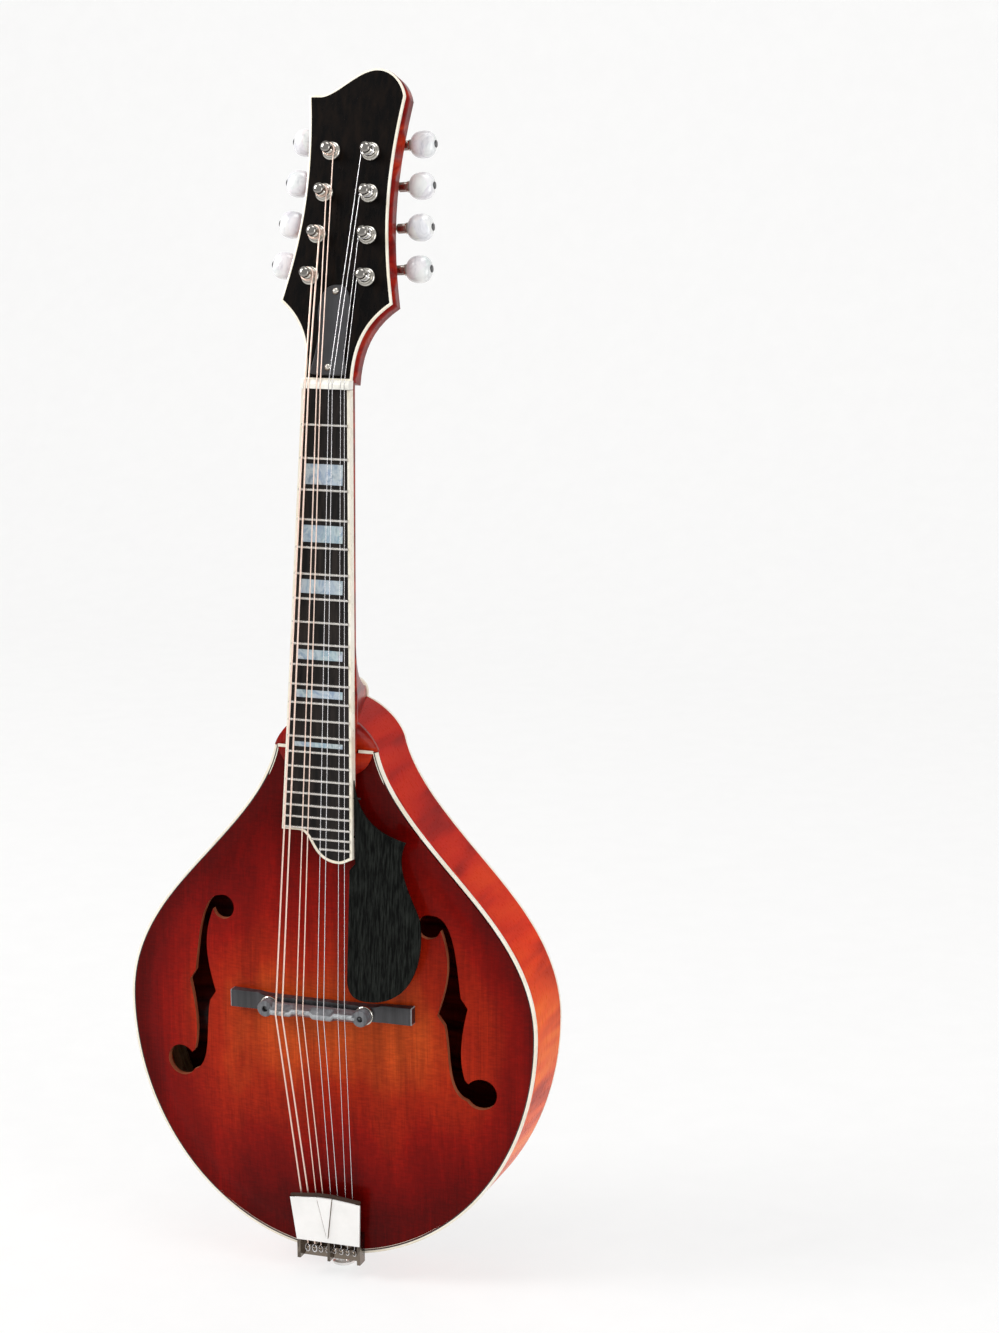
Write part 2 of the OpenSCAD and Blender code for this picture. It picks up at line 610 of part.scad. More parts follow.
// Seen from its button, a worm on the bass side is turned end for end
module tuner_worm(i) color("silver") in_tuner(i) translate([0, worm_y, worm_s])
    rotate([0, tuner_side(i) > 0 ? 0 : 180, 0])
        loft([for (w = worm_stations) [for (k = [0:worm_sides - 1])
            let (a = 360 * k / worm_sides, r = w[1] < 0 ? worm_r(w[0], a) : w[1])
            [w[0], -r * sin(a), r * cos(a)]]]);
module tuner_button(i) color("whitesmoke") in_tuner(i) translate([0, worm_y, worm_s]) {
    side = tuner_side(i);
    difference() {
        translate([side * button_x, 0, 0]) intersection() {
            sphere(r = button_size / 2 + 0.2);
            box([-button_size / 2, -5.2, -button_size / 2], [button_size / 2, 5.2, button_size / 2]);
        }
        translate([side > 0 ? 0 : -button_x - 4.2, 0, 0]) rotate([0, 90, 0])
            cylinder(r = shaft_r + 0.06, h = button_x + 4.2);
        translate([side * (button_x + button_size / 2 + 1), 0, 0]) rotate([0, -side * 90, 0])
            cylinder(r = 1.1, h = 5);
    }
    translate([side * (button_x + button_size / 2 + 0.6), 0, 0]) rotate([0, -side * 90, 0]) {
        cylinder(r = 1.9, h = 0.58);
        cylinder(r = 1, h = 4);
    }
}
// Post with its gear and the gear's screw
gear_y0 = worm_y - gear_t / 2;
gear_step = 360 / gear_teeth;
function gear_ring() = [for (k = [0:gear_teeth - 1]) for (p = [[-0.3, -tooth_down], [-0.115, tooth_up],
    [0.115, tooth_up], [0.3, -tooth_down]])
    let (a = 90 + (k + p[0]) * gear_step) (gear_pitch_r + p[1]) * [cos(a), sin(a)]];
// Teeth that a gear is turned by to sit in mesh with its worm
function gear_turn(i) = tuner_side(i) > 0 ? 0 : 0.5;
module tuner_post(i) color("silver") in_tuner(i) {
    difference() {
        union() {
            post_y(post_r, -9.6, gear_y0 - 0.02);
            post_y(post_r + 1.2, back_of_head + tuner_plate_t + 0.1, gear_y0 - 0.02);
        }
        translate([0, -6, 0]) rotate([0, 90, 0]) cylinder(r = 0.9, h = 20, center = true);
    }
    box([-1.8, gear_y0 - 0.02, -1.8], [1.8, gear_y0 + gear_t, 1.8]);
    difference() {
        rotate([0, gear_turn(i) * gear_step, 0]) slab(gear_y0, gear_y0 + gear_t) polygon(gear_ring());
        box([-1.83, gear_y0 - 1, -1.83], [1.83, gear_y0 + gear_t + 1, 1.83]);
    }
    difference() {
        post_y(2.9, gear_y0 + gear_t + 0.02, gear_y0 + gear_t + 1.3);
        box([-4, gear_y0 + gear_t + 0.8, -0.35], [4, gear_y0 + gear_t + 5, 0.35]);
    }
}

// ---- Bridge -------------------------------------------------------------------
bridge_z = (joint_s - scale_length - compensation) * cos(neck_angle);
string_y = neck_to_body([0, -bridge_action, -scale_length - compensation])[1];
foot_d = 12;        // along the strings
foot_top = front_y(0, bridge_z) - 6;
stud_r = 1.75;
wheel_r = 5.6;
wheel_t = 1.6;
saddle_d = 6.4;
crown_y = string_y + 0.55;
wheel_y = foot_top - saddle_drop - 0.4 - wheel_t;
saddle_low = wheel_y - 0.04;
boss_top = saddle_low - 6.4;
module bridge_base() color("#222222") in_body() difference() {
    translate([0, 0, bridge_z]) union() {
        box([-bridge_l / 2, foot_top + 2.4, -foot_d / 2 + 1], [bridge_l / 2, 10, foot_d / 2 - 1]);
        box([-stud_gap / 2 - 8, foot_top, -foot_d / 2 + 1.5], [stud_gap / 2 + 8, 10, foot_d / 2 - 1.5]);
    }
    front_arch(-0.02);
    box([-100, 0, -400], [100, 100, 100]);
    for (side = [-1, 1]) translate([side * stud_gap / 2, 0, bridge_z])
        post_y(stud_r, foot_top - 10, stud_foot_y);
}
stud_foot_y = foot_top + 4;
module bridge_studs() color("silver") in_body() for (side = [-1, 1])
    translate([side * stud_gap / 2, 0, bridge_z]) post_y(stud_r - 0.01, boss_top + 2, stud_foot_y - 0.02);
module thumbwheel(side) color("silver") in_body() translate([side * stud_gap / 2, 0, bridge_z]) difference() {
    slab(wheel_y, wheel_y + wheel_t) polygon([for (k = [0:47]) let (r = wheel_r - (k % 2) * 0.35)
        r * [cos(7.5 * k), sin(7.5 * k)]]);
    post_y(stud_r + running, wheel_y - 1, wheel_y + wheel_t + 1);
}
module thumbwheel_bass() thumbwheel(-1);
module thumbwheel_treble() thumbwheel(1);
// Forward or back shift of each course's crown, bass to treble
crown_shift = [-1.1, 0.6, -1.1, 0.8];
module saddle() color("#2c2c2c") in_body() translate([0, 0, bridge_z]) difference() {
    union() {
        for (side = [-1, 1]) translate([side * stud_gap / 2, 0, 0]) post_y(4.8, boss_top, saddle_low);
        slab_x(-stud_gap / 2, stud_gap / 2, [[saddle_low, -saddle_d / 2], [boss_top + 1, -saddle_d / 2],
            [boss_top + 1, saddle_d / 2], [saddle_low, saddle_d / 2]]);
        for (k = [0:3]) slab_x((k - 2) * course_bridge, (k - 1) * course_bridge,
            [[boss_top + 2, -saddle_d / 2], [crown_y + 0.8, crown_shift[k] - 1], [crown_y, crown_shift[k]],
            [crown_y + 0.8, crown_shift[k] + 1], [boss_top + 2, saddle_d / 2]]);
    }
    for (side = [-1, 1]) translate([side * stud_gap / 2, 0, 0])
        post_y(stud_r + running, boss_top - 5, saddle_low + 5);
    for (i = [1:8]) translate([string_x(i, course_bridge, pair_gap_bridge), string_y, 0])
        box([-string_radius(i) - 0.1, -5, -10], [string_radius(i) + 0.1, string_radius(i) + 0.05, 10]);
}
// A flat shape of [y, z] points, from x0 to x1
module slab_x(x0, x1, points) translate([x0, 0, 0]) rotate([90, 0, 90])
    linear_extrude(x1 - x0) polygon(points);

// ---- Tailpiece ----------------------------------------------------------------
tail_top = -body_l + 36.5;
tail_low = -body_l + 8.5;
tail_low_w = tail_w - 4.4;
rib_w = 9.2;
tail_end = -body_l - 3.2;
cover_y0 = -12.5;
cover_y1 = -8.4;
flange_z0 = body_l + 0.1;
flange_z1 = body_l + 1.9;
flange_half = 13;
flange_y = 28;
pin_y = 15.5;
pin_r = 4.4;
pin_hole_r = 4.45;
flange_screw_x = 9;
flange_screw_y = 24;
module flange_screw_holes() for (side = [-1, 1])
    translate([side * flange_screw_x, flange_screw_y, -flange_z1 - 5]) cylinder(r = screw_hole_r, h = 20);
cover_slope = atan2(cover_y1 - cover_y0, tail_top - tail_low);
module tail_shape(w0, w1, top, low) polygon([[-w0 / 2, top], [w0 / 2, top], [w1 / 2, low], [-w1 / 2, low]]);
module tailpiece() color("silver") in_body() {
    difference() {
        union() {
            // cover, with its raised middle rib
            translate([0, cover_y0, tail_top]) rotate([cover_slope, 0, 0]) translate([0, 0, -tail_top]) {
                slab(0, 1.6) tail_shape(tail_w, tail_low_w, tail_top, tail_low);
                slab(-0.8, 0.4) tail_shape(rib_w, 1.2, tail_top, tail_low + 4);
            }
            // floor under the cover, hook bar, end flange
            box([-tail_low_w / 2, -2.2, tail_end], [tail_low_w / 2, -0.2, tail_low + 6]);
            for (side = [-1, 1]) box(
                [side > 0 ? tail_low_w / 2 - 2 : -tail_low_w / 2, cover_y1 + 0.5, tail_end],
                [side > 0 ? tail_low_w / 2 : -tail_low_w / 2 + 2, -0.3, tail_low + 6]);
            box([-0.8, cover_y1 + 0.5, tail_end], [0.8, -0.3, tail_low + 6]);
            box([-tail_low_w / 2, cover_y1 + 0.8, tail_low + 3.6], [tail_low_w / 2, -0.3, tail_low + 6]);
            for (i = [1:8]) translate([hook_x(i), 0, hook_z]) post_y(0.9, hook_y - 1.6, -0.3);
            box([-flange_half, -2.2, -flange_z1], [flange_half, flange_y, -flange_z0]);
        }
        translate([0, pin_y, -flange_z1 - 5]) cylinder(r = pin_hole_r, h = 20);
        flange_screw_holes();
        for (i = [1:8]) translate([hook_x(i), 0, 0])
            box([-1.2, -6.8, tail_low + 2], [1.2, -4, tail_low + 20]);
    }
}
function hook_x(i) = string_x(i, course_tail, pair_gap_tail);
hook_z = tail_low - 6;
hook_y = -3.6;

module strap_button() color("silver") in_body() translate([0, pin_y, -body_l]) rotate([180, 0, 0])
    rotate_extrude() polygon([[0, -18], [pin_r, -18], [pin_r, 1.95], [5.4, 1.95], [5.4, 3], [4.2, 5],
        [4.2, 8], [5, 9.6], [6.85, 10.4], [6.85, 12], [5.6, 13], [0, 13.3]]);

// ---- Pickguard ----------------------------------------------------------------
guard_y0 = 2.1;
guard_y1 = 3.9;
guard_gap = 0.4;
guard_x = board_half(joint_s + 12) + guard_gap;
guard_outline = concat([[guard_x, -14.5], [guard_x, -14.5]],
    curve([[guard_x, -14.5], [23, -36], [36, -44], [52.7, -47.6]], 8),
    curve([[52.7, -47.6], [47, -60], [52, -70], [61.8, -90]], 6),
    curve([[61.8, -90], [66, -108], [62, -141], [32, -141]], 10),
    curve([[32, -141], [22, -141], [19.4, -136], [19.4, -128]], 5),
    [[19.4, -66], [guard_x + 2, -62]]);
module pickguard() color("#151515") in_neck() difference() {
    slab(guard_y0, guard_y1) translate([0, -joint_s]) polygon(guard_outline);
    for (side = [-1, 1]) mounting_pin(side, pin_fit);
}
pin_fit = 0.05;
mount_pin_r = 0.6;
mount_pin_l = 9;
// Two pins along X that stand out of the fingerboard's treble edge, gap bigger all round
module mounting_pin(side, gap = 0) translate([0, (guard_y0 + guard_y1) / 2, -joint_s - 36 + side * 11])
    rotate([0, 90, 0]) translate([0, 0, board_half(joint_s) - 4 - gap])
        cylinder(r = mount_pin_r + gap, h = mount_pin_l + 2 * gap, $fn = 16);
guard_foot = [50, -112];
module pickguard_mounting() color("#222222") {
    in_neck() for (side = [-1, 1]) mounting_pin(side);
    in_body() difference() {
        translate([guard_foot[0], 0, guard_foot[1]]) box([-5, -40, -5], [5, 10, 5]);
        neck_within_body() box([-100, -100, -500], [100, guard_y1 + 0.02, 100]);
        front_arch(-0.02);
    }
}

// ---- Strings ------------------------------------------------------------------
wrap_y = -6;
wrap_turns = 2.5;
wrap_steps = 8;
// String i goes to this tuner: the outer strings to the lowest posts
function string_tuner(i) = i <= 4 ? i : 13 - i;
// The head end: a helix round the post that starts where the string meets it
function wrap_points(i) = let (t = string_tuner(i), side = tuner_side(t), rise = 2.1 * string_radius(i),
        r = (post_r + running + string_radius(i)) / cos(180 / wrap_steps))
    [for (k = [0:wrap_turns * wrap_steps]) let (a = 360 * k / wrap_steps)
        [post_x(t) - side * r * cos(a), wrap_y + rise * k / wrap_steps, post_s(t) + r * sin(a)]];
function string_path(i) = concat(
    [[hook_x(i), hook_y, hook_z + 1.2 + string_radius(i)]],
    [[string_x(i, course_bridge, pair_gap_bridge), string_y, bridge_z + crown_shift[floor((i - 1) / 2)]]],
    [neck_to_body([string_x(i, course_nut, pair_gap_nut), -nut_action, 0.4])],
    [neck_to_body([string_x(i, course_nut, pair_gap_nut), -nut_action + 0.05, 4.9])],
    [for (p = wrap_points(i)) head_to_body(p)]);
module string_solid(i) in_body() loft(tube_rings(string_path(i), string_radius(i)));
module strings_wound() color("peru") for (i = [1:4]) string_solid(i);
module strings_plain() color("silver") for (i = [5:8]) string_solid(i);

soundboard();
back_plate();
rim();
top_binding();
back_binding();
linings();
neck_block();
end_block();
tone_bars();
neck();
headplate();
head_binding();
fingerboard();
fingerboard_binding();
fingerboard_riser();
frets();
position_blocks();
nut();
truss_rod();
truss_rod_nut();
truss_rod_cover();
bridge_base();
bridge_studs();
thumbwheel_bass();
thumbwheel_treble();
saddle();
tailpiece();
strap_button();
pickguard();
pickguard_mounting();
tuner_plate_bass();
tuner_plate_treble();
tuner_bushings();
wood_screws();
strings_wound();
strings_plain();
for (i = [1:8]) tuner_button(i);
for (i = [1:8]) tuner_worm(i);
for (i = [1:8]) tuner_post(i);
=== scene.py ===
"""Looks of an upright mandolin: lacquered wood, ebony, pearl, nickel and strings on the CAD frame."""
import json
import math

import bmesh
import bpy
import numpy as np
from mathutils import Euler, Matrix, Vector, geometry


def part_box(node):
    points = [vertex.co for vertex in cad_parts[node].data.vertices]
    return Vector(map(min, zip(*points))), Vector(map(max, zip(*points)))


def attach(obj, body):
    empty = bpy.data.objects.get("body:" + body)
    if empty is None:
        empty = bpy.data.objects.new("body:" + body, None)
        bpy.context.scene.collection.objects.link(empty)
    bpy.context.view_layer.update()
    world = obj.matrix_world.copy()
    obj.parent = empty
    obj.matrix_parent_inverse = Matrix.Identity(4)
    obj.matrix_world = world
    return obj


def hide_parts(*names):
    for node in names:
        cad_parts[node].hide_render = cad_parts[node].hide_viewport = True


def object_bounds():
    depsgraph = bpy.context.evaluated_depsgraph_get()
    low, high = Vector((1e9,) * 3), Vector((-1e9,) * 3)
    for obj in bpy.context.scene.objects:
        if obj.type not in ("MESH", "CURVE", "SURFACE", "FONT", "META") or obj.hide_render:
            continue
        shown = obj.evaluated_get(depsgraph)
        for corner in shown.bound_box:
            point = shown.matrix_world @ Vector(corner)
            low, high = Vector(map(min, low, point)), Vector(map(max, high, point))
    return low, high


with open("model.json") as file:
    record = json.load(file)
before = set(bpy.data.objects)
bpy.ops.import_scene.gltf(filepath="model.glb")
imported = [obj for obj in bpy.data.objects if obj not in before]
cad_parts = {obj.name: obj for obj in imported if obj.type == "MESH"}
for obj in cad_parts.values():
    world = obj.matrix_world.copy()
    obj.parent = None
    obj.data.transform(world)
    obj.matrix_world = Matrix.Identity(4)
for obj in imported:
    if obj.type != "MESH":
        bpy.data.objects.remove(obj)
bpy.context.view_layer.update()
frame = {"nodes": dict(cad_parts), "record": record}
ROOT = "root"
MM = 0.001

# ---- Places ------------------------------------------------------------------
# Shapes are written in millimetres, in the body's, the neck's or the head's own place.
NECK_ANGLE = math.radians(5.33)
HEAD_ANGLE = math.radians(12.5)
SCALE_LENGTH = 352.4
CROWN_Z = 21.5
EDGE_T = 4.0
SIDE_D = 38.0
BACK_Y = 2 * EDGE_T + SIDE_D
BOARD_H = 10.8
BOARD_T = 5.5
NUT_HALF = 14.3
ARCH_FRONT, ARCH_BACK = 11, 12
SIDES = {"bass": -1, "treble": 1}
STUD_X = 29.2
WHEEL_T, WHEEL_GAP = 1.6, 0.4
FACING_T = 1.8
HEAD_EDGING = 1.2
EDGING = 1.45
GUARD_Y = (2.1, 3.9)
POST_R = 3.03
HEAD_GAP = 5.0
HEAD_DROP = 3.0


def fret_s(n):
    return SCALE_LENGTH * (1 - 2 ** (-n / 12))


JOINT_S = fret_s(15)
rim_low, rim_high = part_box("rim")
BODY = Matrix.Translation((0, rim_low.y - EDGE_T * MM, rim_high.z - CROWN_Z * MM))
NUT_AT = Vector((0, -BOARD_H + JOINT_S * math.sin(NECK_ANGLE), JOINT_S * math.cos(NECK_ANGLE))) * MM
NECK = BODY @ Matrix.Translation(NUT_AT) @ Matrix.Rotation(-NECK_ANGLE, 4, "X")
HEAD_FOLD = NECK @ Matrix.Translation((0, HEAD_DROP * MM, HEAD_GAP * MM))
HEAD = HEAD_FOLD @ Matrix.Rotation(-HEAD_ANGLE, 4, "X") @ Matrix.Translation((0, 0, -HEAD_GAP * MM))
POST_GAP, POST_START, POST_IN, POST_OUT = 23.84, 63.7, 11.8, 16.8
PLATE_TILT = math.atan2(POST_OUT - POST_IN, 3 * POST_GAP)
BACK_OF_HEAD = 14.0
WORM_Y = BACK_OF_HEAD + 1.2 + 2.6 + 0.5 + 0.4
WORM_S = 15 * 2.2 / (2 * math.pi) + 2.6


def tuner_side(i):
    return -1 if i <= 4 else 1


def tuner_place(i):
    """The place of tuner i: 1 to 4 run up the bass side from the nut, 5 to 8 up the treble side."""
    side, row = tuner_side(i), (i - 1) % 4
    x = side * (POST_OUT + (POST_IN - POST_OUT) * row / 3)
    s = POST_START + POST_GAP * math.cos(PLATE_TILT) * row
    return HEAD @ Matrix.Translation((x * MM, 0, s * MM)) @ Matrix.Rotation(-side * PLATE_TILT, 4,
        "Y")


def board_half(s):
    return NUT_HALF + 5.0 * s / (SCALE_LENGTH / 2)


def moved(place, points):
    """Points in millimetres, put in metres at a place."""
    m = np.array(place)
    return np.asarray(points, float) * MM @ m[:3, :3].T + m[:3, 3]


# ---- Flat curves -------------------------------------------------------------
def bezier(a, b, c, d, steps):
    t = np.linspace(0, 1, steps + 1)[1:, None]
    a, b, c, d = (np.array(p, float) for p in (a, b, c, d))
    return (1 - t) ** 3 * a + 3 * (1 - t) ** 2 * t * b + 3 * (1 - t) * t * t * c + t ** 3 * d


def joined(*parts):
    return np.concatenate([np.asarray(p, float).reshape(-1, 2) for p in parts])


def mirror_x(points):
    return points[::-1] * [-1, 1]


def area(points):
    x, z = points[:, 0], points[:, 1]
    return 0.5 * np.sum(x * np.roll(z, -1) - z * np.roll(x, -1))


def inset(points, d, closed=True):
    """The outline moved inwards by d; an open one runs with its inside on the left."""
    p = np.asarray(points, float)
    sign = 1 if not closed or area(p) > 0 else -1
    before = p - np.roll(p, 1, 0)
    after = np.roll(p, -1, 0) - p
    if not closed:
        before[0], after[-1] = after[0], before[-1]
    n1 = np.stack([-before[:, 1], before[:, 0]], 1)
    n2 = np.stack([-after[:, 1], after[:, 0]], 1)
    n1 /= np.linalg.norm(n1, axis=1)[:, None]
    n2 /= np.linalg.norm(n2, axis=1)[:, None]
    miter = (n1 + n2) / np.maximum(1 + np.sum(n1 * n2, 1), 0.3)[:, None]
    return p + sign * d * miter


def inside(points, outline):
    """Which of the points lie inside the outline."""
    x, z = points[:, 0][:, None], points[:, 1][:, None]
    a, b = outline, np.roll(outline, -1, 0)
    crosses = (a[:, 1] > z) != (b[:, 1] > z)
    rise = np.where(b[:, 1] == a[:, 1], 1e-9, b[:, 1] - a[:, 1])
    at = a[:, 0] + (z - a[:, 1]) * (b[:, 0] - a[:, 0]) / rise
    return np.sum(crosses & (x < at), 1) % 2 == 1


def edge_distance(points, outline):
    """Distance of each point to the nearest part of the outline."""
    a, b = outline, np.roll(outline, -1, 0)
    best = np.full(len(points), 1e9)
    for p, q in zip(a, b):
        d = q - p
        t = np.clip((points - p) @ d / max(d @ d, 1e-12), 0, 1)[:, None]
        best = np.minimum(best, np.linalg.norm(points - (p + t * d), axis=1))
    return best


# ---- Meshes ------------------------------------------------------------------
def in_scene(name, data):
    thing = bpy.data.objects.new(name, data)
    bpy.context.scene.collection.objects.link(thing)
    return thing


def ring_walls(n, rings):
    return [[j * n + i, j * n + (i + 1) % n, (j + 1) * n + (i + 1) % n, (j + 1) * n + i]
        for j in range(rings - 1) for i in range(n)]


def make(name, verts, faces, material, body=ROOT, smooth=35, slots=(), face_slots=None):
    mesh = bpy.data.meshes.new(name)
    mesh.from_pydata([tuple(v) for v in verts], [], [tuple(int(i) for i in f) for f in faces])
    piece = in_scene(name, mesh)
    for m in (material, *slots):
        mesh.materials.append(m)
    if face_slots is not None:
        mesh.polygons.foreach_set("material_index", np.asarray(face_slots, np.int32))
    shade(mesh, smooth)
    piece["body"] = body
    return piece


def shade(mesh, smooth):
    mesh.polygons.foreach_set("use_smooth", [True] * len(mesh.polygons))
    mesh.set_sharp_from_angle(angle=math.radians(smooth))
    mesh.update()


def outward(piece):
    bm = bmesh.new()
    bm.from_mesh(piece.data)
    bmesh.ops.remove_doubles(bm, verts=bm.verts, dist=1e-7)
    bmesh.ops.recalc_face_normals(bm, faces=bm.faces)
    bm.to_mesh(piece.data)
    bm.free()
    return piece


def bevel(piece, width, segments=2, angle=35):
    """Rounds the piece's sharp edges by width, in millimetres."""
    b = piece.modifiers.new("rounded edges", "BEVEL")
    b.width = width * MM
    b.segments = segments
    b.limit_method = "ANGLE"
    b.angle_limit = math.radians(angle)
    b.harden_normals = True
    return piece


def done(piece, *replaced, slot=None):
    """The piece joins its body and stands for the CAD nodes named."""
    body = piece["body"]
    del piece["body"]
    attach(piece, body)
    if replaced:
        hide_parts(*replaced)
    return piece


def prism(name, outline, y0, y1, place, material, body=ROOT, smooth=35):
    """A flat outline of [x, z] points made solid from depth y0 to y1."""
    p = np.asarray(outline, float)
    n = len(p)
    verts = np.concatenate([np.stack([p[:, 0], np.full(n, y), p[:, 1]], 1) for y in (y0, y1)])
    faces = [list(range(n)), list(range(2 * n - 1, n - 1, -1))]
    faces += [[i, i + n, (i + 1) % n + n, (i + 1) % n] for i in range(n)]
    return outward(make(name, moved(place, verts), faces, material, body, smooth))


def band(name, outline, d0, d1, y0, y1, place, material, closed=True, body=ROOT, rounded=0.0):
    """A strip along the outline, from inset d0 to inset d1 and from depth y0 to y1.
    Its UV map runs along the outline and across the depth, in metres."""
    outer, inner = inset(outline, d0, closed), inset(outline, d1, closed)
    r = rounded
    rings = [(outer, y1 - r), (outer, y0 + r), (outer * 0.7 + inset(outline, d0 + r, closed) * 0.3,
        y0 + 0.3 * r), (inset(outline, d0 + r, closed), y0), (inner, y0), (inner, y1),
        (inset(outline, d0 + r, closed), y1)]
    if not r:
        rings = [(outer, y1), (outer, y0), (inner, y0), (inner, y1)]
    n, k = len(outer), len(rings)
    verts = np.concatenate([np.stack([p[:, 0], np.full(n, y), p[:, 1]], 1) for p, y in rings])
    last = n if closed else n - 1
    faces = [[j * n + i, j * n + (i + 1) % n, (j + 1) % k * n + (i + 1) % n, (j + 1) % k * n + i]
        for j in range(k) for i in range(last)]
    if not closed:
        faces += [[j * n for j in range(k)], [j * n + n - 1 for j in range(k)][::-1]]
    along = np.concatenate([[0], np.cumsum(np.linalg.norm(np.diff(outer, axis=0), axis=1))]) * MM
    piece = outward(make(name, moved(place, verts), faces, material, body, 40))
    uv = piece.data.uv_layers.new(name="along").data
    inverse = np.linalg.inv(np.array(place))
    for loop in piece.data.loops:
        co = inverse[:3, :3] @ np.array(piece.data.vertices[loop.vertex_index].co) + inverse[:3, 3]
        near = int(np.argmin(np.hypot(outer[:, 0] - co[0] / MM, outer[:, 1] - co[2] / MM)))
        uv[loop.index].uv = (along[near], co[1])
    return piece


def plate(name, outline, holes, step, front, back, place, material, cut=None, body=ROOT,
        edge_from=None):
    """A carved plate: fine triangles between an outline and its holes, with a front and a back depth
    for each point. Attribute edge holds each point's distance from the outline, in metres."""
    loops = [np.asarray(outline, float)] + [np.asarray(h, float) for h in holes]
    low, high = loops[0].min(0), loops[0].max(0)
    grid = np.stack(np.meshgrid(np.arange(low[0] + step / 2, high[0], step),
        np.arange(low[1] + step / 2, high[1], step)), -1).reshape(-1, 2)
    keep = inside(grid, loops[0]) & (edge_distance(grid, loops[0]) > step * 0.45)
    for h in loops[1:]:
        keep &= ~inside(grid, h) & (edge_distance(grid, h) > step * 0.45)
    points, edges = joined(*loops, grid[keep]), []
    start = 0
    for loop in loops:
        edges += [(start + i, start + (i + 1) % len(loop)) for i in range(len(loop))]
        start += len(loop)
    flat, _, tris, *_ = geometry.delaunay_2d_cdt([Vector(p) for p in points], edges, [], 0, 1e-6)
    flat = np.array([tuple(v) for v in flat])
    tris = np.array(tris)
    middle = flat[tris].mean(1)
    keep = inside(middle, loops[0])
    for h in loops[1:]:
        keep &= ~inside(middle, h)
    tris = tris[keep]
    n = len(flat)
    turn = np.cross(flat[tris[:, 1]] - flat[tris[:, 0]], flat[tris[:, 2]] - flat[tris[:, 0]]) < 0
    tris[turn] = tris[turn][:, ::-1]
    sides = {}
    for t in tris:
        for side in ((t[0], t[1]), (t[1], t[2]), (t[2], t[0])):
            sides[side] = True
    walls = [(a, b) for a, b in sides if (b, a) not in sides]
    verts = np.concatenate([np.stack([flat[:, 0], front(flat), flat[:, 1]], 1),
        np.stack([flat[:, 0], back(flat), flat[:, 1]], 1)])
    faces = [list(t) for t in tris] + [list(t[::-1] + n) for t in tris] + [[b, a, a + n, b + n] for a,
        b in walls]
    on_hole = [any(edge_distance(flat[[a]], h)[0] < 0.02 for h in loops[1:]) for a, b in walls]
    face_slots = [0] * (2 * len(tris)) + [1 if h and cut else 0 for h in on_hole]
    piece = make(name, moved(place, verts), faces, material, body, 40, (cut,) if cut else (),
        face_slots)
    depth = edge_distance(flat, np.asarray(edge_from if edge_from is not None else outline,
        float)) * MM
    piece.data.attributes.new("edge", "FLOAT", "POINT").data.foreach_set("value", np.tile(depth, 2))
    return piece


def lathe(name, profile, place, material, axis="Y", body=ROOT, steps=40, smooth=35):
    """A turned shape: [radius, height] points swept about an axis of the place."""
    profile = list(profile)
    if profile[0][0] > 0 and profile[-1][0] > 0:
        profile.append(profile[0])
    elif profile[0][0] > 0:
        profile.insert(0, (0, profile[0][1]))
    elif profile[-1][0] > 0:
        profile.append((0, profile[-1][1]))
    verts, faces, k = [], [], len(profile)
    for i in range(steps):
        a = 2 * math.pi * i / steps
        for r, h in profile:
            c, s = r * math.cos(a), r * math.sin(a)
            verts.append({"X": (h, c, s), "Y": (c, h, s), "Z": (c, s, h)}[axis])
    for i in range(steps):
        for j in range(k - 1):
            n = (i + 1) % steps
            faces.append([i * k + j, n * k + j, n * k + j + 1, i * k + j + 1])
    return outward(make(name, moved(place, verts), faces, material, body, smooth))


def loft(name, rings, place, material, body=ROOT, smooth=40):
    """A solid through closed rings of points, with flat ends."""
    n = len(rings[0])
    verts = np.concatenate([np.asarray(r, float) for r in rings])
    faces = ring_walls(n, len(rings))
    faces += [list(range(n)), list(range(len(verts) - 1, len(verts) - n - 1, -1))]
    return outward(make(name, moved(place, verts), faces, material, body, smooth))


def tube(name, path, radius, material, body=ROOT, sides=12):
    """A round cord of world points; its UV map runs along it and round it, in metres."""
    path = np.asarray(path, float)
    step = np.gradient(path, axis=0)
    step /= np.linalg.norm(step, axis=1)[:, None]
    side = np.cross(step[0], [1, 0, 0])
    rings = []
    for p, d in zip(path, step):
        side = side - d * (side @ d)
        side /= np.linalg.norm(side)
        other = np.cross(d, side)
        rings.append([p + radius * (math.cos(a) * side + math.sin(a) * other) for a in np.linspace(0,
            2 * math.pi, sides, endpoint=False)])
    verts = np.concatenate(rings)
    n = sides
    faces = ring_walls(n, len(path))
    faces += [list(range(n))[::-1], list(range(len(verts) - n, len(verts)))]
    piece = make(name, verts, faces, material, body, 60)
    along = np.concatenate([[0], np.cumsum(np.linalg.norm(np.diff(path, axis=0), axis=1))])
    uv = piece.data.uv_layers.new(name="along").data
    for face in piece.data.polygons:
        for loop, vertex in zip(face.loop_indices, face.vertices):
            uv[loop].uv = (along[vertex // n], (vertex % n) / n)
    return piece


def traced(node, material, smooth=35, slot=None):
    """A CAD node's own shape, joined up and smoothly shaded, in place of its loose triangles."""
    source = frame["nodes"][node]
    mesh = source.data.copy()
    bm = bmesh.new()
    bm.from_mesh(mesh)
    bmesh.ops.remove_doubles(bm, verts=bm.verts, dist=2e-6)
    bmesh.ops.dissolve_degenerate(bm, edges=bm.edges, dist=1e-7)
    bm.to_mesh(mesh)
    bm.free()
    mesh.materials.clear()
    mesh.materials.append(material)
    piece = in_scene(node + "_surface", mesh)
    shade(mesh, smooth)
    piece["body"] = next(b for b, names in frame["record"]["behaviour"]["bodies"].items()
        if node in names)
    return done(piece, node, slot=slot)


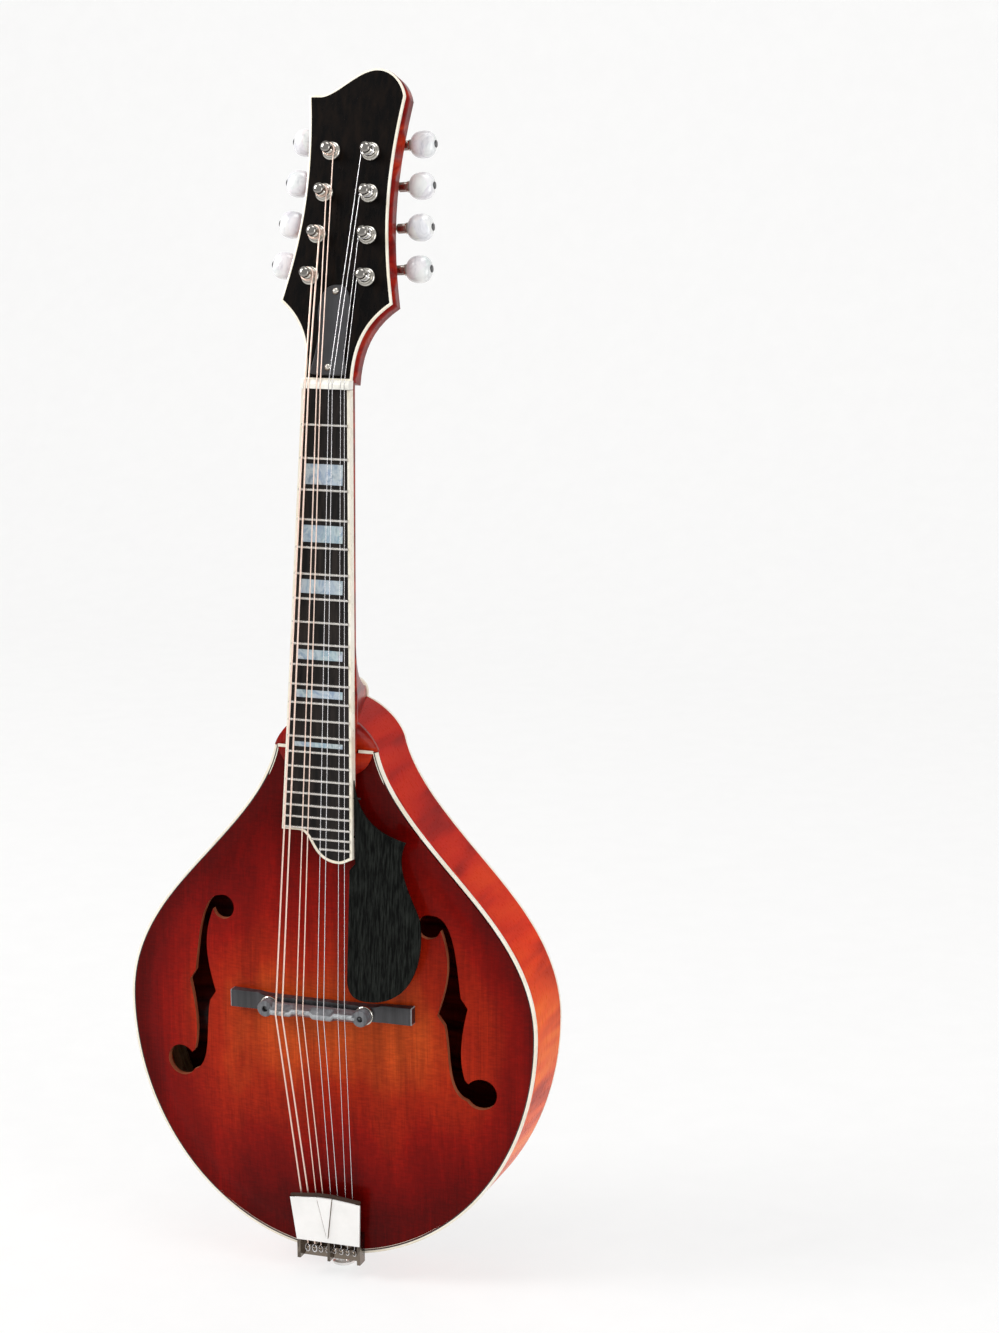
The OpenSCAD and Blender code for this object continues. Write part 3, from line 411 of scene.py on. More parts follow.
# ---- Materials ---------------------------------------------------------------
def colour(code):
    parts = [int(code[i:i + 2], 16) / 255 for i in (0, 2, 4)]
    return tuple(c / 12.92 if c <= 0.04045 else ((c + 0.055) / 1.055) ** 2.4 for c in parts) + (1.0,)


def add_node(tree, kind, links=(), settings=(), **attributes):
    n = tree.nodes.new(kind)
    for key, value in attributes.items():
        setattr(n, key, value)
    for key, value in dict(settings).items():
        n.inputs[key].default_value = value
    for key, source in dict(links).items():
        tree.links.new(source, n.inputs[key])
    return n


class Finish:
    """A material on a Principled shader, with short calls for its nodes."""

    def __init__(self, name, **settings):
        self.material = bpy.data.materials.new(name)
        self.material.use_nodes = True
        self.tree = self.material.node_tree
        self.shader = next(n for n in self.tree.nodes if n.type == "BSDF_PRINCIPLED")
        self.set(self.shader, **settings)

    def set(self, node, **settings):
        for key, value in settings.items():
            node.inputs[key.replace("_", " ")].default_value = value

    def node(self, kind, links=(), settings=(), **attributes):
        return add_node(self.tree, kind, links, settings, **attributes)

    def place(self, scale=(1, 1, 1), turn=(0, 0, 0)):
        """Object coordinates, stretched and turned."""
        at = self.node("ShaderNodeTexCoord").outputs["Object"]
        return self.stretch(at, scale, turn)

    def uv(self, name):
        return self.node("ShaderNodeUVMap", uv_map=name).outputs[0]

    def stretch(self, at, scale, turn=(0, 0, 0)):
        return self.node("ShaderNodeMapping", {"Vector": at},
            {"Scale": scale, "Rotation": turn}).outputs[0]

    def noise(self, at, scale, detail=4.0, rough=0.55, distortion=0.0):
        return self.node("ShaderNodeTexNoise", {"Vector": at}, {"Scale": scale, "Detail": detail,
            "Roughness": rough, "Distortion": distortion}).outputs["Fac"]

    def ramp(self, source, *stops):
        """A colour ramp of (position, colour code) or (position, grey) stops."""
        n = self.node("ShaderNodeValToRGB", {"Fac": source})
        while len(n.color_ramp.elements) < len(stops):
            n.color_ramp.elements.new(0.5)
        for element, (at, value) in zip(n.color_ramp.elements, stops):
            element.position = at
            element.color = colour(value) if isinstance(value, str) else (value, value, value, 1)
        return n.outputs["Color"]

    def mix(self, a, b, amount, how="MIX"):
        n = self.node("ShaderNodeMix", data_type="RGBA", blend_type=how)
        for key, value in ((6, a), (7, b), (0, amount)):
            if isinstance(value, (float, tuple)):
                n.inputs[key].default_value = value
            else:
                self.tree.links.new(value, n.inputs[key])
        return n.outputs[2]

    def math(self, how, a, b=0.0):
        n = self.node("ShaderNodeMath", operation=how)
        for key, value in ((0, a), (1, b)):
            if isinstance(value, (int, float)):
                n.inputs[key].default_value = value
            else:
                self.tree.links.new(value, n.inputs[key])
        return n.outputs[0]

    def use(self, source, socket):
        self.tree.links.new(source, self.shader.inputs[socket])
        return self

    def bump(self, source, strength, depth):
        n = self.node("ShaderNodeBump", {"Height": source}, {"Strength": strength, "Distance": depth})
        return self.use(n.outputs[0], "Normal")

    def rough(self, source, low, high):
        n = self.node("ShaderNodeMapRange", {"Value": source}, {"To Min": low, "To Max": high})
        return self.use(n.outputs[0], "Roughness")


def spruce_top():
    """Sunburst spruce: upright grain, faint cross silk, dark edges and an orange glow in the middle."""
    f = Finish("spruce_sunburst", Roughness=0.4, Coat_Weight=0.07, Coat_Roughness=0.06,
        Specular_IOR_Level=0.05)
    edge = f.node("ShaderNodeAttribute", attribute_name="edge").outputs["Fac"]
    glow_at = BODY @ Vector((0.01, 0, -0.162))
    offset = f.node("ShaderNodeVectorMath", {0: f.place()}, {1: glow_at},
        operation="SUBTRACT").outputs[0]
    far = f.node("ShaderNodeVectorMath", {0: f.stretch(offset, (8.5, 0, 12.5))},
        operation="LENGTH").outputs["Value"]
    cloud = f.noise(f.place((1, 1, 0.4)), 19, 5)
    glow = f.math("SUBTRACT", 1.12, f.math("MULTIPLY", far, 0.72))
    inner = f.math("MINIMUM", f.math("MULTIPLY", edge, 20.0), glow)
    inner = f.math("ADD", inner, f.math("MULTIPLY", f.math("SUBTRACT", cloud, 0.5), 1.0))
    tint = f.ramp(inner, (0.0, "640301"), (0.2, "7c0602"), (0.45, "981205"), (0.72, "b42a0c"),
        (0.98, "da561e"))
    grain = f.noise(f.place((1, 1, 0.018)), 1300, 2, 0.6)
    wide = f.noise(f.place((1, 1, 0.02)), 420, 3)
    bands = f.noise(f.place((1, 1, 0.05)), 75, 3)
    silk = f.noise(f.place((0.22, 1, 1), (0, 0.25, 0)), 900, 2)
    tint = f.mix(tint, f.ramp(grain, (0.3, 0.70), (0.7, 1.0)), 0.8, "MULTIPLY")
    tint = f.mix(tint, f.ramp(wide, (0.3, 0.72), (0.7, 1.0)), 0.8, "MULTIPLY")
    tint = f.mix(tint, f.ramp(bands, (0.34, 0.66), (0.6, 1.0)), 0.7, "MULTIPLY")
    tint = f.mix(tint, f.ramp(silk, (0.35, 0.72), (0.65, 1.0)), 0.8, "MULTIPLY")
    f.use(tint, "Base Color").bump(grain, 0.08, 0.0002)
    return f.material


def maple(name, at, dark, middle, light, flame_scale, burst=False, fade=False, coat=0.12, shine=0.08):
    """Flamed maple: wavering bands across the grain under clear lacquer."""
    f = Finish(name, Roughness=0.38, Coat_Weight=coat, Coat_Roughness=0.07, Specular_IOR_Level=shine)
    flame = f.noise(at(f), flame_scale, 2.5, 0.5, 0.35)
    fine = f.noise(f.place((1, 1, 0.05)), 900, 3)
    cloud = f.noise(f.place(), 14, 3)
    tint = f.ramp(flame, (0.32, dark), (0.5, middle), (0.68, light))
    tint = f.mix(tint, f.ramp(fine, (0.3, 0.8), (0.7, 1.0)), 0.6, "MULTIPLY")
    tint = f.mix(tint, f.ramp(cloud, (0.3, 0.72), (0.65, 1.0)), 0.6, "MULTIPLY")
    if fade:
        height = f.node("ShaderNodeSeparateXYZ", {0: f.place()}).outputs["Z"]
        rise = f.math("MULTIPLY", f.math("SUBTRACT", height, BODY.translation.z - 0.16), 9.0)
        red = f.ramp(rise, (0.0, "ffffff"), (0.45, "f09a78"), (1.0, "cc5a38"))
        tint = f.mix(tint, red, 1.0, "MULTIPLY")
    if burst:
        edge = f.node("ShaderNodeAttribute", attribute_name="edge").outputs["Fac"]
        tint = f.mix(tint, f.ramp(f.math("MULTIPLY", edge, 12.0), (0.0, 0.28), (0.5, 0.75),
            (1.0, 1.0)), 1.0, "MULTIPLY")
    f.use(tint, "Base Color").rough(fine, 0.22, 0.36)
    return f.material


def ebony(name, dark, light, rough=(0.3, 0.48), coat=0.0, shine=0.18, streaks=260):
    f = Finish(name, Coat_Weight=coat, Coat_Roughness=0.08, Specular_IOR_Level=shine)
    streak = f.noise(f.place((1, 1, 0.05)), streaks, 4, 0.6)
    pore = f.noise(f.place((1, 1, 0.04)), 1900, 2)
    f.use(f.mix(f.ramp(streak, (0.4, dark), (0.72, light)), f.ramp(pore, (0.35, 0.7), (0.6, 1.0)),
        0.7, "MULTIPLY"), "Base Color")
    f.rough(streak, *rough).bump(pore, 0.1, 0.0001)
    return f.material


def plastic(name, code, darker, rough=0.25, coat=0.5, speck=60):
    f = Finish(name, Coat_Weight=coat, Coat_Roughness=0.08)
    cloud = f.noise(f.place(), speck, 4)
    f.use(f.ramp(cloud, (0.3, darker), (0.7, code)), "Base Color").rough(cloud, rough * 0.8,
        rough * 1.2)
    return f.material


def metal(name, code, rough, scratch=0.04, stretch=(1, 1, 1), shine=1.0):
    f = Finish(name, Metallic=shine)
    wear = f.noise(f.place(stretch), 700, 4)
    cloud = f.noise(f.place(), 90, 3)
    f.use(f.mix(colour(code), f.ramp(cloud, (0.3, 0.82), (0.7, 1.0)), 0.5, "MULTIPLY"), "Base Color")
    f.rough(wear, rough * 0.7, rough * 1.4).bump(wear, scratch, 0.00005)
    return f.material


def engraved_nickel():
    """Nickel with scrolls cut into it, as on the tuner plates."""
    f = Finish("engraved_nickel", Metallic=1.0)
    at = f.place()
    swirl = f.node("ShaderNodeTexVoronoi", {"Vector": at}, {"Scale": 420.0},
        feature="DISTANCE_TO_EDGE").outputs["Distance"]
    wave = f.node("ShaderNodeTexWave", {"Vector": at}, {"Scale": 95.0, "Distortion": 14.0,
        "Detail": 1.0, "Detail Scale": 2.0}, wave_type="RINGS").outputs["Fac"]
    cut = f.math("MULTIPLY", f.ramp(wave, (0.42, 0.0), (0.55, 1.0)), f.ramp(swirl, (0.02, 0.35),
        (0.12, 1.0)))
    f.use(f.mix(colour("8d8373"), colour("dcd3c3"), cut), "Base Color").rough(cut, 0.32,
        0.14).bump(cut, 0.45, 0.00012)
    return f.material


def pearl(name, stops, scale, coat=1.0, warp=1.2, rough=0.22):
    """Shell or pearl plastic: soft drifting patches of near colours."""
    f = Finish(name, Roughness=rough, Coat_Weight=coat, Coat_Roughness=0.03, Specular_IOR_Level=0.6)
    at = f.place((1, 1, 0.6))
    patch = f.noise(at, scale, 5, 0.6, warp)
    cell = f.node("ShaderNodeTexVoronoi", {"Vector": at}, {"Scale": scale * 1.3}).outputs["Color"]
    tone = f.ramp(patch, *stops)
    hue = f.mix(tone, cell, 0.04, "MIX")
    f.use(hue, "Base Color").bump(patch, 0.03, 0.0002)
    return f.material


def wound(name):
    """A string wound with fine wire, read along its own length. Its colour darkens in the troughs
    between the turns: painted shade.
    """
    f = Finish(name, Metallic=0.8, Roughness=0.3)
    at = f.stretch(f.uv("along"), (1, 0.00033, 1))
    winding_relief_and_shade = f.node("ShaderNodeTexWave", {"Vector": at}, {"Scale": 480.0}).outputs["Fac"]
    f.use(f.ramp(winding_relief_and_shade, (0.1, "d8b09a"), (0.6, "ffeade")), "Base Color").bump(winding_relief_and_shade, 0.5, 0.0001)
    return f.material


top_wood = spruce_top()
side_wood = maple("side_maple", lambda f: f.stretch(f.uv("along"), (1, 0.16, 1)), "b93206", "f0560c",
    "ff7a1c", 60, fade=True, coat=0.03, shine=0.03)
back_wood = maple("back_maple", lambda f: f.stretch(f.uv("book"), (0.13, 1, 1), (0, 0, 0.14)),
    "4a0502", "84120a", "a82c12", 150, burst=True)
neck_wood = maple("neck_maple", lambda f: f.place((0.12, 0.2, 1), (0, 0.12, 0)), "6c0804", "8c1006",
    "b22c0c", 140, coat=0.1, shine=0.05)
inner_wood = maple("inner_spruce", lambda f: f.place((1, 1, 0.05)), "b08a5a", "c9a878", "dcc195", 300,
    coat=0.0)
cut_wood = plastic("cut_edge_wood", "a35a3c", "7d3a22", 0.5, 0.2)
black_wood = ebony("board_ebony", "0c0b0b", "2c2522")
bridge_wood = ebony("bridge_ebony", "19181b", "39383c", (0.28, 0.42), shine=0.6)
# The bridge's ebony made lighter grey to stand in for its sheen: painted sheen on the saddle bar and
# its bosses.
saddle_painted_sheen = ebony("saddle_ebony", "4c4d51", "77797d", (0.28, 0.42), shine=0.6)
# Ebony lightened to stand in for its reflection: painted sheen on the saddle's forward-facing crown
# faces and the bridge foot's rounded edges.
painted_sheen_ebony = ebony("worn_ebony_crown", "85888b", "b0b4b6", (0.3, 0.42), shine=0.6)
guard_wood = ebony("guard_ebony", "040504", "262926", (0.3, 0.42), 0.02, shine=0.05, streaks=900)
facing_wood = ebony("facing_ebony", "050404", "150d08", (0.22, 0.34), 0.04, shine=0.06)
cream = plastic("cream_binding", "f1ece0", "e4dac4", 0.28)
black_line = plastic("black_line", "0d0b0b", "060505", 0.3)
bone = plastic("polished_bone", "eeece6", "dddad0", 0.3, 0.4, 180)
cover_black = plastic("cover_plastic", "2e2e31", "252528", 0.3, 0.2)
felt = plastic("brown_felt", "3a2415", "241409", 0.85, 0.0, 900)
nickel = metal("nickel", "c4c0b8", 0.12)
# Nickel darkened to stand in for the dark reflection on the post tops: painted shade.
post_nickel = metal("post_nickel", "96928d", 0.1)
bright_nickel = metal("bright_nickel", "fbfaf8", 0.12, 0.01, shine=0.55)
dark_nickel = metal("shaded_nickel", "7d7267", 0.2)
fret_wire = metal("fret_wire", "d8d4ce", 0.24, shine=0.9)
steel = metal("plain_string", "e2e0e2", 0.22, shine=0.8)
rod_steel = metal("rod_steel", "8a8886", 0.4)
brass = metal("brass", "c8a35a", 0.3)
plate_nickel = engraved_nickel()
shell = pearl("shell_blocks", ((0.3, "6f8494"), (0.45, "b3c0c6"), (0.6, "8398ad"), (0.75, "dfe2e0")),
    75, warp=2.5)
button_shell = pearl("button_pearl", ((0.25, "c0c2c7"), (0.5, "e9eaec"), (0.75, "f7f7f6")), 95,
    coat=0.5, warp=2.0)
bronze = wound("wound_bronze")


# ---- Repeated things ---------------------------------------------------------
def tree_inputs(name, *inputs):
    tree = bpy.data.node_groups.new(name, "GeometryNodeTree")
    ids = {}
    tree.interface.new_socket("Geometry", in_out="INPUT", socket_type="NodeSocketGeometry")
    for label, kind, value in inputs:
        socket = tree.interface.new_socket(label, in_out="INPUT", socket_type="NodeSocket" + kind)
        if kind != "Material":
            socket.default_value = value
        ids[label] = socket.identifier
    tree.interface.new_socket("Geometry", in_out="OUTPUT", socket_type="NodeSocketGeometry")
    start, end = tree.nodes.new("NodeGroupInput"), tree.nodes.new("NodeGroupOutput")
    return tree, ids, start.outputs, end.inputs, lambda *a, **k: add_node(tree, *a, **k)


def finish_tree(tree, realized, start, end, add):
    solid = add("GeometryNodeRealizeInstances", {"Geometry": realized})
    painted = add("GeometryNodeSetMaterial", {"Geometry": solid.outputs[0],
        "Material": start["Material"]})
    tree.links.new(painted.outputs[0], end["Geometry"])


def crowned_bars():
    """Half-round bars across the points of a mesh, as long as the point's attribute reach."""
    tree, ids, start, end, add = tree_inputs("crowned_bars", ("Crown Width", "Float", 0.002),
        ("Crown Height", "Float", 0.0011), ("Material", "Material", None))
    half = add("ShaderNodeMath", {0: start["Crown Width"]}, {1: 0.5}, operation="MULTIPLY").outputs[0]
    bar = add("GeometryNodeMeshCylinder", {"Radius": half},
        {"Vertices": 20, "Side Segments": 1, "Depth": 1.0})
    laid = add("GeometryNodeTransform", {"Geometry": bar.outputs["Mesh"]},
        {"Rotation": Euler((0, math.pi / 2, 0))})
    flatness = add("ShaderNodeMath", {0: start["Crown Height"], 1: start["Crown Width"]},
        operation="DIVIDE").outputs[0]
    double = add("ShaderNodeMath", {0: flatness}, {1: 2.0}, operation="MULTIPLY").outputs[0]
    reach = add("GeometryNodeInputNamedAttribute", settings={"Name": "reach"},
        data_type="FLOAT").outputs[0]
    size = add("ShaderNodeCombineXYZ", {"X": reach, "Y": double}, {"Z": 1.0}).outputs[0]
    bars = add("GeometryNodeInstanceOnPoints", {"Points": start["Geometry"],
        "Instance": laid.outputs[0], "Scale": size}, {"Rotation": Euler((-NECK_ANGLE, 0, 0))})
    finish_tree(tree, bars.outputs[0], start, end, add)
    return tree, ids


def knurling():
    """Fine ridges round the points of a ring mesh, each turned to face out by the attribute face."""
    tree, ids, start, end, add = tree_inputs("knurling", ("Ridge Width", "Float", 0.0004),
        ("Ridge Length", "Float", 0.005), ("Material", "Material", None))
    half = add("ShaderNodeMath", {0: start["Ridge Width"]}, {1: 0.5}, operation="MULTIPLY").outputs[0]
    ridge = add("GeometryNodeMeshCylinder", {"Radius": half, "Depth": start["Ridge Length"]},
        {"Vertices": 6, "Side Segments": 1})
    turn = add("GeometryNodeInputNamedAttribute", settings={"Name": "face"},
        data_type="FLOAT_VECTOR").outputs[0]
    to_rotation = add("FunctionNodeAlignRotationToVector", {"Vector": turn}, axis="Z")
    ridges = add("GeometryNodeInstanceOnPoints", {"Points": start["Geometry"],
        "Instance": ridge.outputs["Mesh"], "Rotation": to_rotation.outputs[0]})
    finish_tree(tree, ridges.outputs[0], start, end, add)
    return tree, ids


def grown(name, points, attribute, kind, values, tree, ids, settings, body=ROOT):
    """The plain mesh that a tree makes at the given world points."""
    seed = bpy.data.meshes.new(name + "_places")
    seed.from_pydata([tuple(p) for p in points], [], [])
    data = seed.attributes.new(attribute, kind, "POINT").data
    data.foreach_set("value" if kind == "FLOAT" else "vector", np.asarray(values, float).ravel())
    holder = in_scene(name + "_places", seed)
    modifier = holder.modifiers.new("growth", "NODES")
    modifier.node_group = tree
    for label, value in settings.items():
        modifier[ids[label]] = value
    depsgraph = bpy.context.evaluated_depsgraph_get()
    mesh = bpy.data.meshes.new_from_object(holder.evaluated_get(depsgraph))
    mesh.name = name
    holder.modifiers.remove(modifier)
    bpy.data.objects.remove(holder)
    piece = in_scene(name, mesh)
    shade(mesh, 50)
    piece["body"] = body
    return piece


BARS = crowned_bars()
KNURLS = knurling()

# ---- Body --------------------------------------------------------------------
arc = np.linspace(0, math.pi / 2, 61)
lower = np.stack([126 * np.sin(arc), -160 - 145 * np.cos(arc)], 1)
upper = joined(bezier((126, -160), (126, -122), (102, -95), (80, -71), 30),
    bezier((80, -71), (58, -47), (36.3, -24), (31.3, 0), 30))
crown = bezier((31.3, 0), (28.5, 8), (20, 17), (8, CROWN_Z), 16)
half_side = joined(lower, upper, crown)
outline = joined(half_side, mirror_x(half_side[1:]))
lobe = np.linspace(0, math.pi, 33)
half_back = half_side[half_side[:, 0] > 8.7]
front_half = joined(lower, upper)
open_run = joined(mirror_x(front_half), front_half[1:])
back_outline = joined(half_side[:1], half_back, [[8.6, 21.3]],
    np.stack([8.6 * np.cos(lobe), 24.2 + 8.6 * np.sin(lobe)], 1), [[-8.6, 21.3]], mirror_x(half_back))


def barrel(p, rise):
    """Height of the arch over the edge: a long arc turned about a far axis."""
    along = (128 ** 2 + rise ** 2) / (2 * rise)
    across = (112 ** 2 + rise ** 2) / (2 * rise)
    drop = along - np.sqrt(along ** 2 - np.minimum(np.abs(p[:, 1] + 157), 200) ** 2)
    r = across - drop
    return np.sqrt(np.maximum(r ** 2 - p[:, 0] ** 2, 1)) - (across - rise)


def carved(p, rise, edge):
    """The arch with a soft hollow where it meets the flat edge."""
    h, k = barrel(p, rise), 1.6
    height = k * np.log1p(np.exp(np.clip(h / k, -30, 30)))
    height = np.where(h > 8, h, height)
    d = edge_distance(p, edge)
    return height - 0.7 * np.exp(-((d - 9) / 5) ** 2) * np.clip(d / 3, 0, 1)


EYE_TOP, EYE_LOW = np.array([63.5, -98.0]), np.array([93.4, -195.5])


def ball(centre, r, start, end, steps):
    a = np.radians(np.linspace(start, end, steps))
    return np.stack([centre[0] + r * np.cos(a), centre[1] + r * np.sin(a)], 1)


f_hole = joined(ball(EYE_TOP, 7, 75, 345, 26), bezier((70.3, -99.8), (77.5, -118), (74.5, -131),
    (68.7, -149.4), 14), bezier((71.9, -151.6), (77, -168), (71.5, -196), (85.4, -200.2), 14),
    ball(EYE_LOW, 9.3, 212, 500, 30), bezier((85.2, -190.0), (80.6, -178), (82, -162), (86.3, -144.4),
    14), bezier((82.9, -142.6), (80, -124), (79.5, -91.5), (65.4, -91.2), 14))
plate_edge = joined(half_side[half_side[:, 1] <= 0.01],
    mirror_x(half_side[half_side[:, 1] <= 0.01][1:]))
top_edge = inset(outline, 2.05)
right_edge = top_edge[(top_edge[:, 1] <= -0.2) & (top_edge[:, 0] > -0.01)]
top_edge = joined(right_edge, [[29.2, 0], [-29.2, 0]], mirror_x(right_edge[1:]))
top = plate("soundboard_carved", top_edge, [f_hole, mirror_x(f_hole)], 2.0,
    lambda p: -carved(p, ARCH_FRONT, plate_edge), lambda p: np.minimum(3.4 - barrel(p, ARCH_FRONT),
    3.9), BODY, top_wood, cut_wood, edge_from=plate_edge)
done(top, "soundboard", slot="spruce_sunburst")
back = plate("back_carved", inset(back_outline, 2.05), [], 2.5,
    lambda p: BACK_Y + np.maximum(barrel(p, ARCH_BACK) - 3.4, -4), lambda p: BACK_Y + carved(p,
    ARCH_BACK, back_outline), BODY, back_wood)
book = back.data.uv_layers.new(name="book").data
for loop in back.data.loops:
    point = back.data.vertices[loop.vertex_index].co
    book[loop.index].uv = (abs(point.x), point.z)
done(back, "back_plate", slot="maple_red")
done(band("side_bend", outline, 0, 2.4, EDGE_T, EDGE_T + SIDE_D + 1.8, BODY, side_wood), "rim",
    slot="maple_red")
done(band("side_lip", open_run, 0, 1.9, 2.4, EDGE_T, BODY, side_wood, closed=False))
edging = band("front_edging", open_run, -0.05, EDGING, -0.15, 2.4, BODY, cream, closed=False,
    rounded=0.4)
done(edging, "top_binding", slot="ivory_plastic")
done(band("front_black_line", open_run, EDGING, 2.1, -0.1, 1.6, BODY, black_line, closed=False))
done(band("front_fine_line", open_run, 2.1, 2.6, -0.1, 0.6, BODY, cream, closed=False))
done(band("back_edging", back_outline, -0.05, 2.0, BACK_Y - 2.2, BACK_Y + 0.1, BODY, cream,
    rounded=0.4), "back_binding", slot="ivory_plastic")
for x0, x1, label in ((-29.2, -20.2, "bass"), (20.2, 29.2, "treble")):
    done(bevel(prism("joint_line_" + label, [(x0, -0.9), (x1, -0.9), (x1, 0.9), (x0, 0.9)], -0.85, 0,
        BODY, cream), 0.2))
for inner in ("linings", "neck_block", "end_block", "tone_bars"):
    traced(inner, inner_wood, slot="bare_wood")
traced("neck", neck_wood, 50, "maple_red")
traced("fingerboard_riser", neck_wood, 50, "maple_red")

# ---- Head --------------------------------------------------------------------
head_side = joined([[NUT_HALF, 5]], bezier((NUT_HALF, 5), (13.6, 24), (18, 38), (33.4, 49.2), 24),
    bezier((33.4, 49.2), (25, 86), (22, 118), (28.9, 167), 30))
head_outline = joined(head_side, bezier((28.9, 167), (27, 175), (20, 182.8), (10.8, 182.8), 16),
    bezier((10.8, 182.8), (-1, 182.8), (-12, 168.5), (-21.2, 167.1), 20), mirror_x(head_side))
done(bevel(prism("head_facing", inset(head_outline, HEAD_EDGING), 0, FACING_T, HEAD, facing_wood),
    0.1), "headplate", slot="ebony")
done(band("head_edging", head_outline, -0.02, HEAD_EDGING, -0.05, FACING_T, HEAD, cream, rounded=0.3),
    "head_binding", slot="ivory_plastic")
cover_side = joined(bezier((0, 7.6), (5, 7.4), (9, 7.6), (11.2, 8.6), 8),
    bezier((11.2, 8.6), (8.2, 20), (7.4, 30), (9.4, 40), 14), bezier((9.4, 40), (10.6, 50), (8, 59),
    (0, 59), 16))
cover = prism("rod_cover", joined(cover_side, mirror_x(cover_side[:-1])), -1.65, -0.02, HEAD,
    cover_black)
done(bevel(cover, 0.7, 1), "truss_rod_cover", slot="black_plastic")
for s in (12, 55):
    head = [(0.5, -2.62), (1.3, -2.58), (1.9, -2.2), (2.05, -1.62), (0, -1.62)]
    here = HEAD @ Matrix.Translation((0, 0, s * MM))
    done(lathe(f"cover_screw_{s}", head, here, dark_nickel, "Y", steps=24))
traced("truss_rod", rod_steel, slot="steel")
traced("truss_rod_nut", brass, slot="brass")
traced("wood_screws", nickel, 40, "nickel")
traced("nut", bone, 30, "bone")

# ---- Fingerboard -------------------------------------------------------------
END_S, TIP_S = JOINT_S + 45, JOINT_S + 62
board_edge = joined([[NUT_HALF, 0], [-NUT_HALF, 0], [-board_half(END_S), -END_S], [-11, -END_S]],
    bezier((-11, -END_S), (-2, -END_S), (-4, -TIP_S - 0.5), (14, -TIP_S - 0.5), 26),
    bezier((14, -TIP_S - 0.5), (17, -TIP_S - 0.3), (19, -TIP_S + 1.5),
    (board_half(TIP_S), -TIP_S + 2.5), 8))
board = inset(board_edge, 1.5)
board[:2, 1] = 0
done(prism("board_top", board, 0, BOARD_T, NECK, black_wood), "fingerboard", slot="ebony")
strip = joined(board_edge[1:], [[NUT_HALF, 0]])
done(band("board_edging", strip, 0, 1.5, 0, BOARD_T, NECK, cream, closed=False),
    "fingerboard_binding", slot="ivory_plastic")
for n in (2, 4, 6, 9, 11, 14):
    half, s0, s1 = board_half(fret_s(n)) * 0.74, fret_s(n) + 3, fret_s(n + 1) - 3
    block = prism(f"block_{n + 1}", [(-half, -s1), (half, -s1), (half, -s0), (-half, -s0)], -0.03, 1,
        NECK, shell)
    done(bevel(block, 0.15), *(["position_blocks"] if n == 2 else []), slot="pearl")
places, reach = [], []
for n in range(1, 24):
    left = -board_half(fret_s(n)) + 0.3 if n < 22 else (-3 if n == 22 else 2)
    right = board_half(fret_s(n)) - 0.3
    left, right = left + (0.7 if n < 22 else 0), right - 0.7
    places.append(((left + right) / 2, 0.0, -fret_s(n)))
    reach.append((right - left) * MM)
frets = grown("fret_bars", moved(NECK, places), "reach", "FLOAT", reach, *BARS,
    {"Crown Width": 0.0016, "Crown Height": 0.0011, "Material": fret_wire})
done(frets, "frets", slot="fret_wire")
for n in (3, 5, 7, 10, 12, 15):
    x = -board_half(fret_s(n - 0.5)) - 0.02
    for k in ((-3, 3) if n == 12 else (0,)):
        s = fret_s(n - 0.5) + k
        dot = lathe(f"side_dot_{n}_{k + 3}", [(0, -0.03), (0.8, -0.03), (0.8, 0.4), (0, 0.4)],
            NECK @ Matrix.Translation((x * MM, 2.6 * MM, -s * MM)), black_line, axis="X", steps=20)
        done(dot)

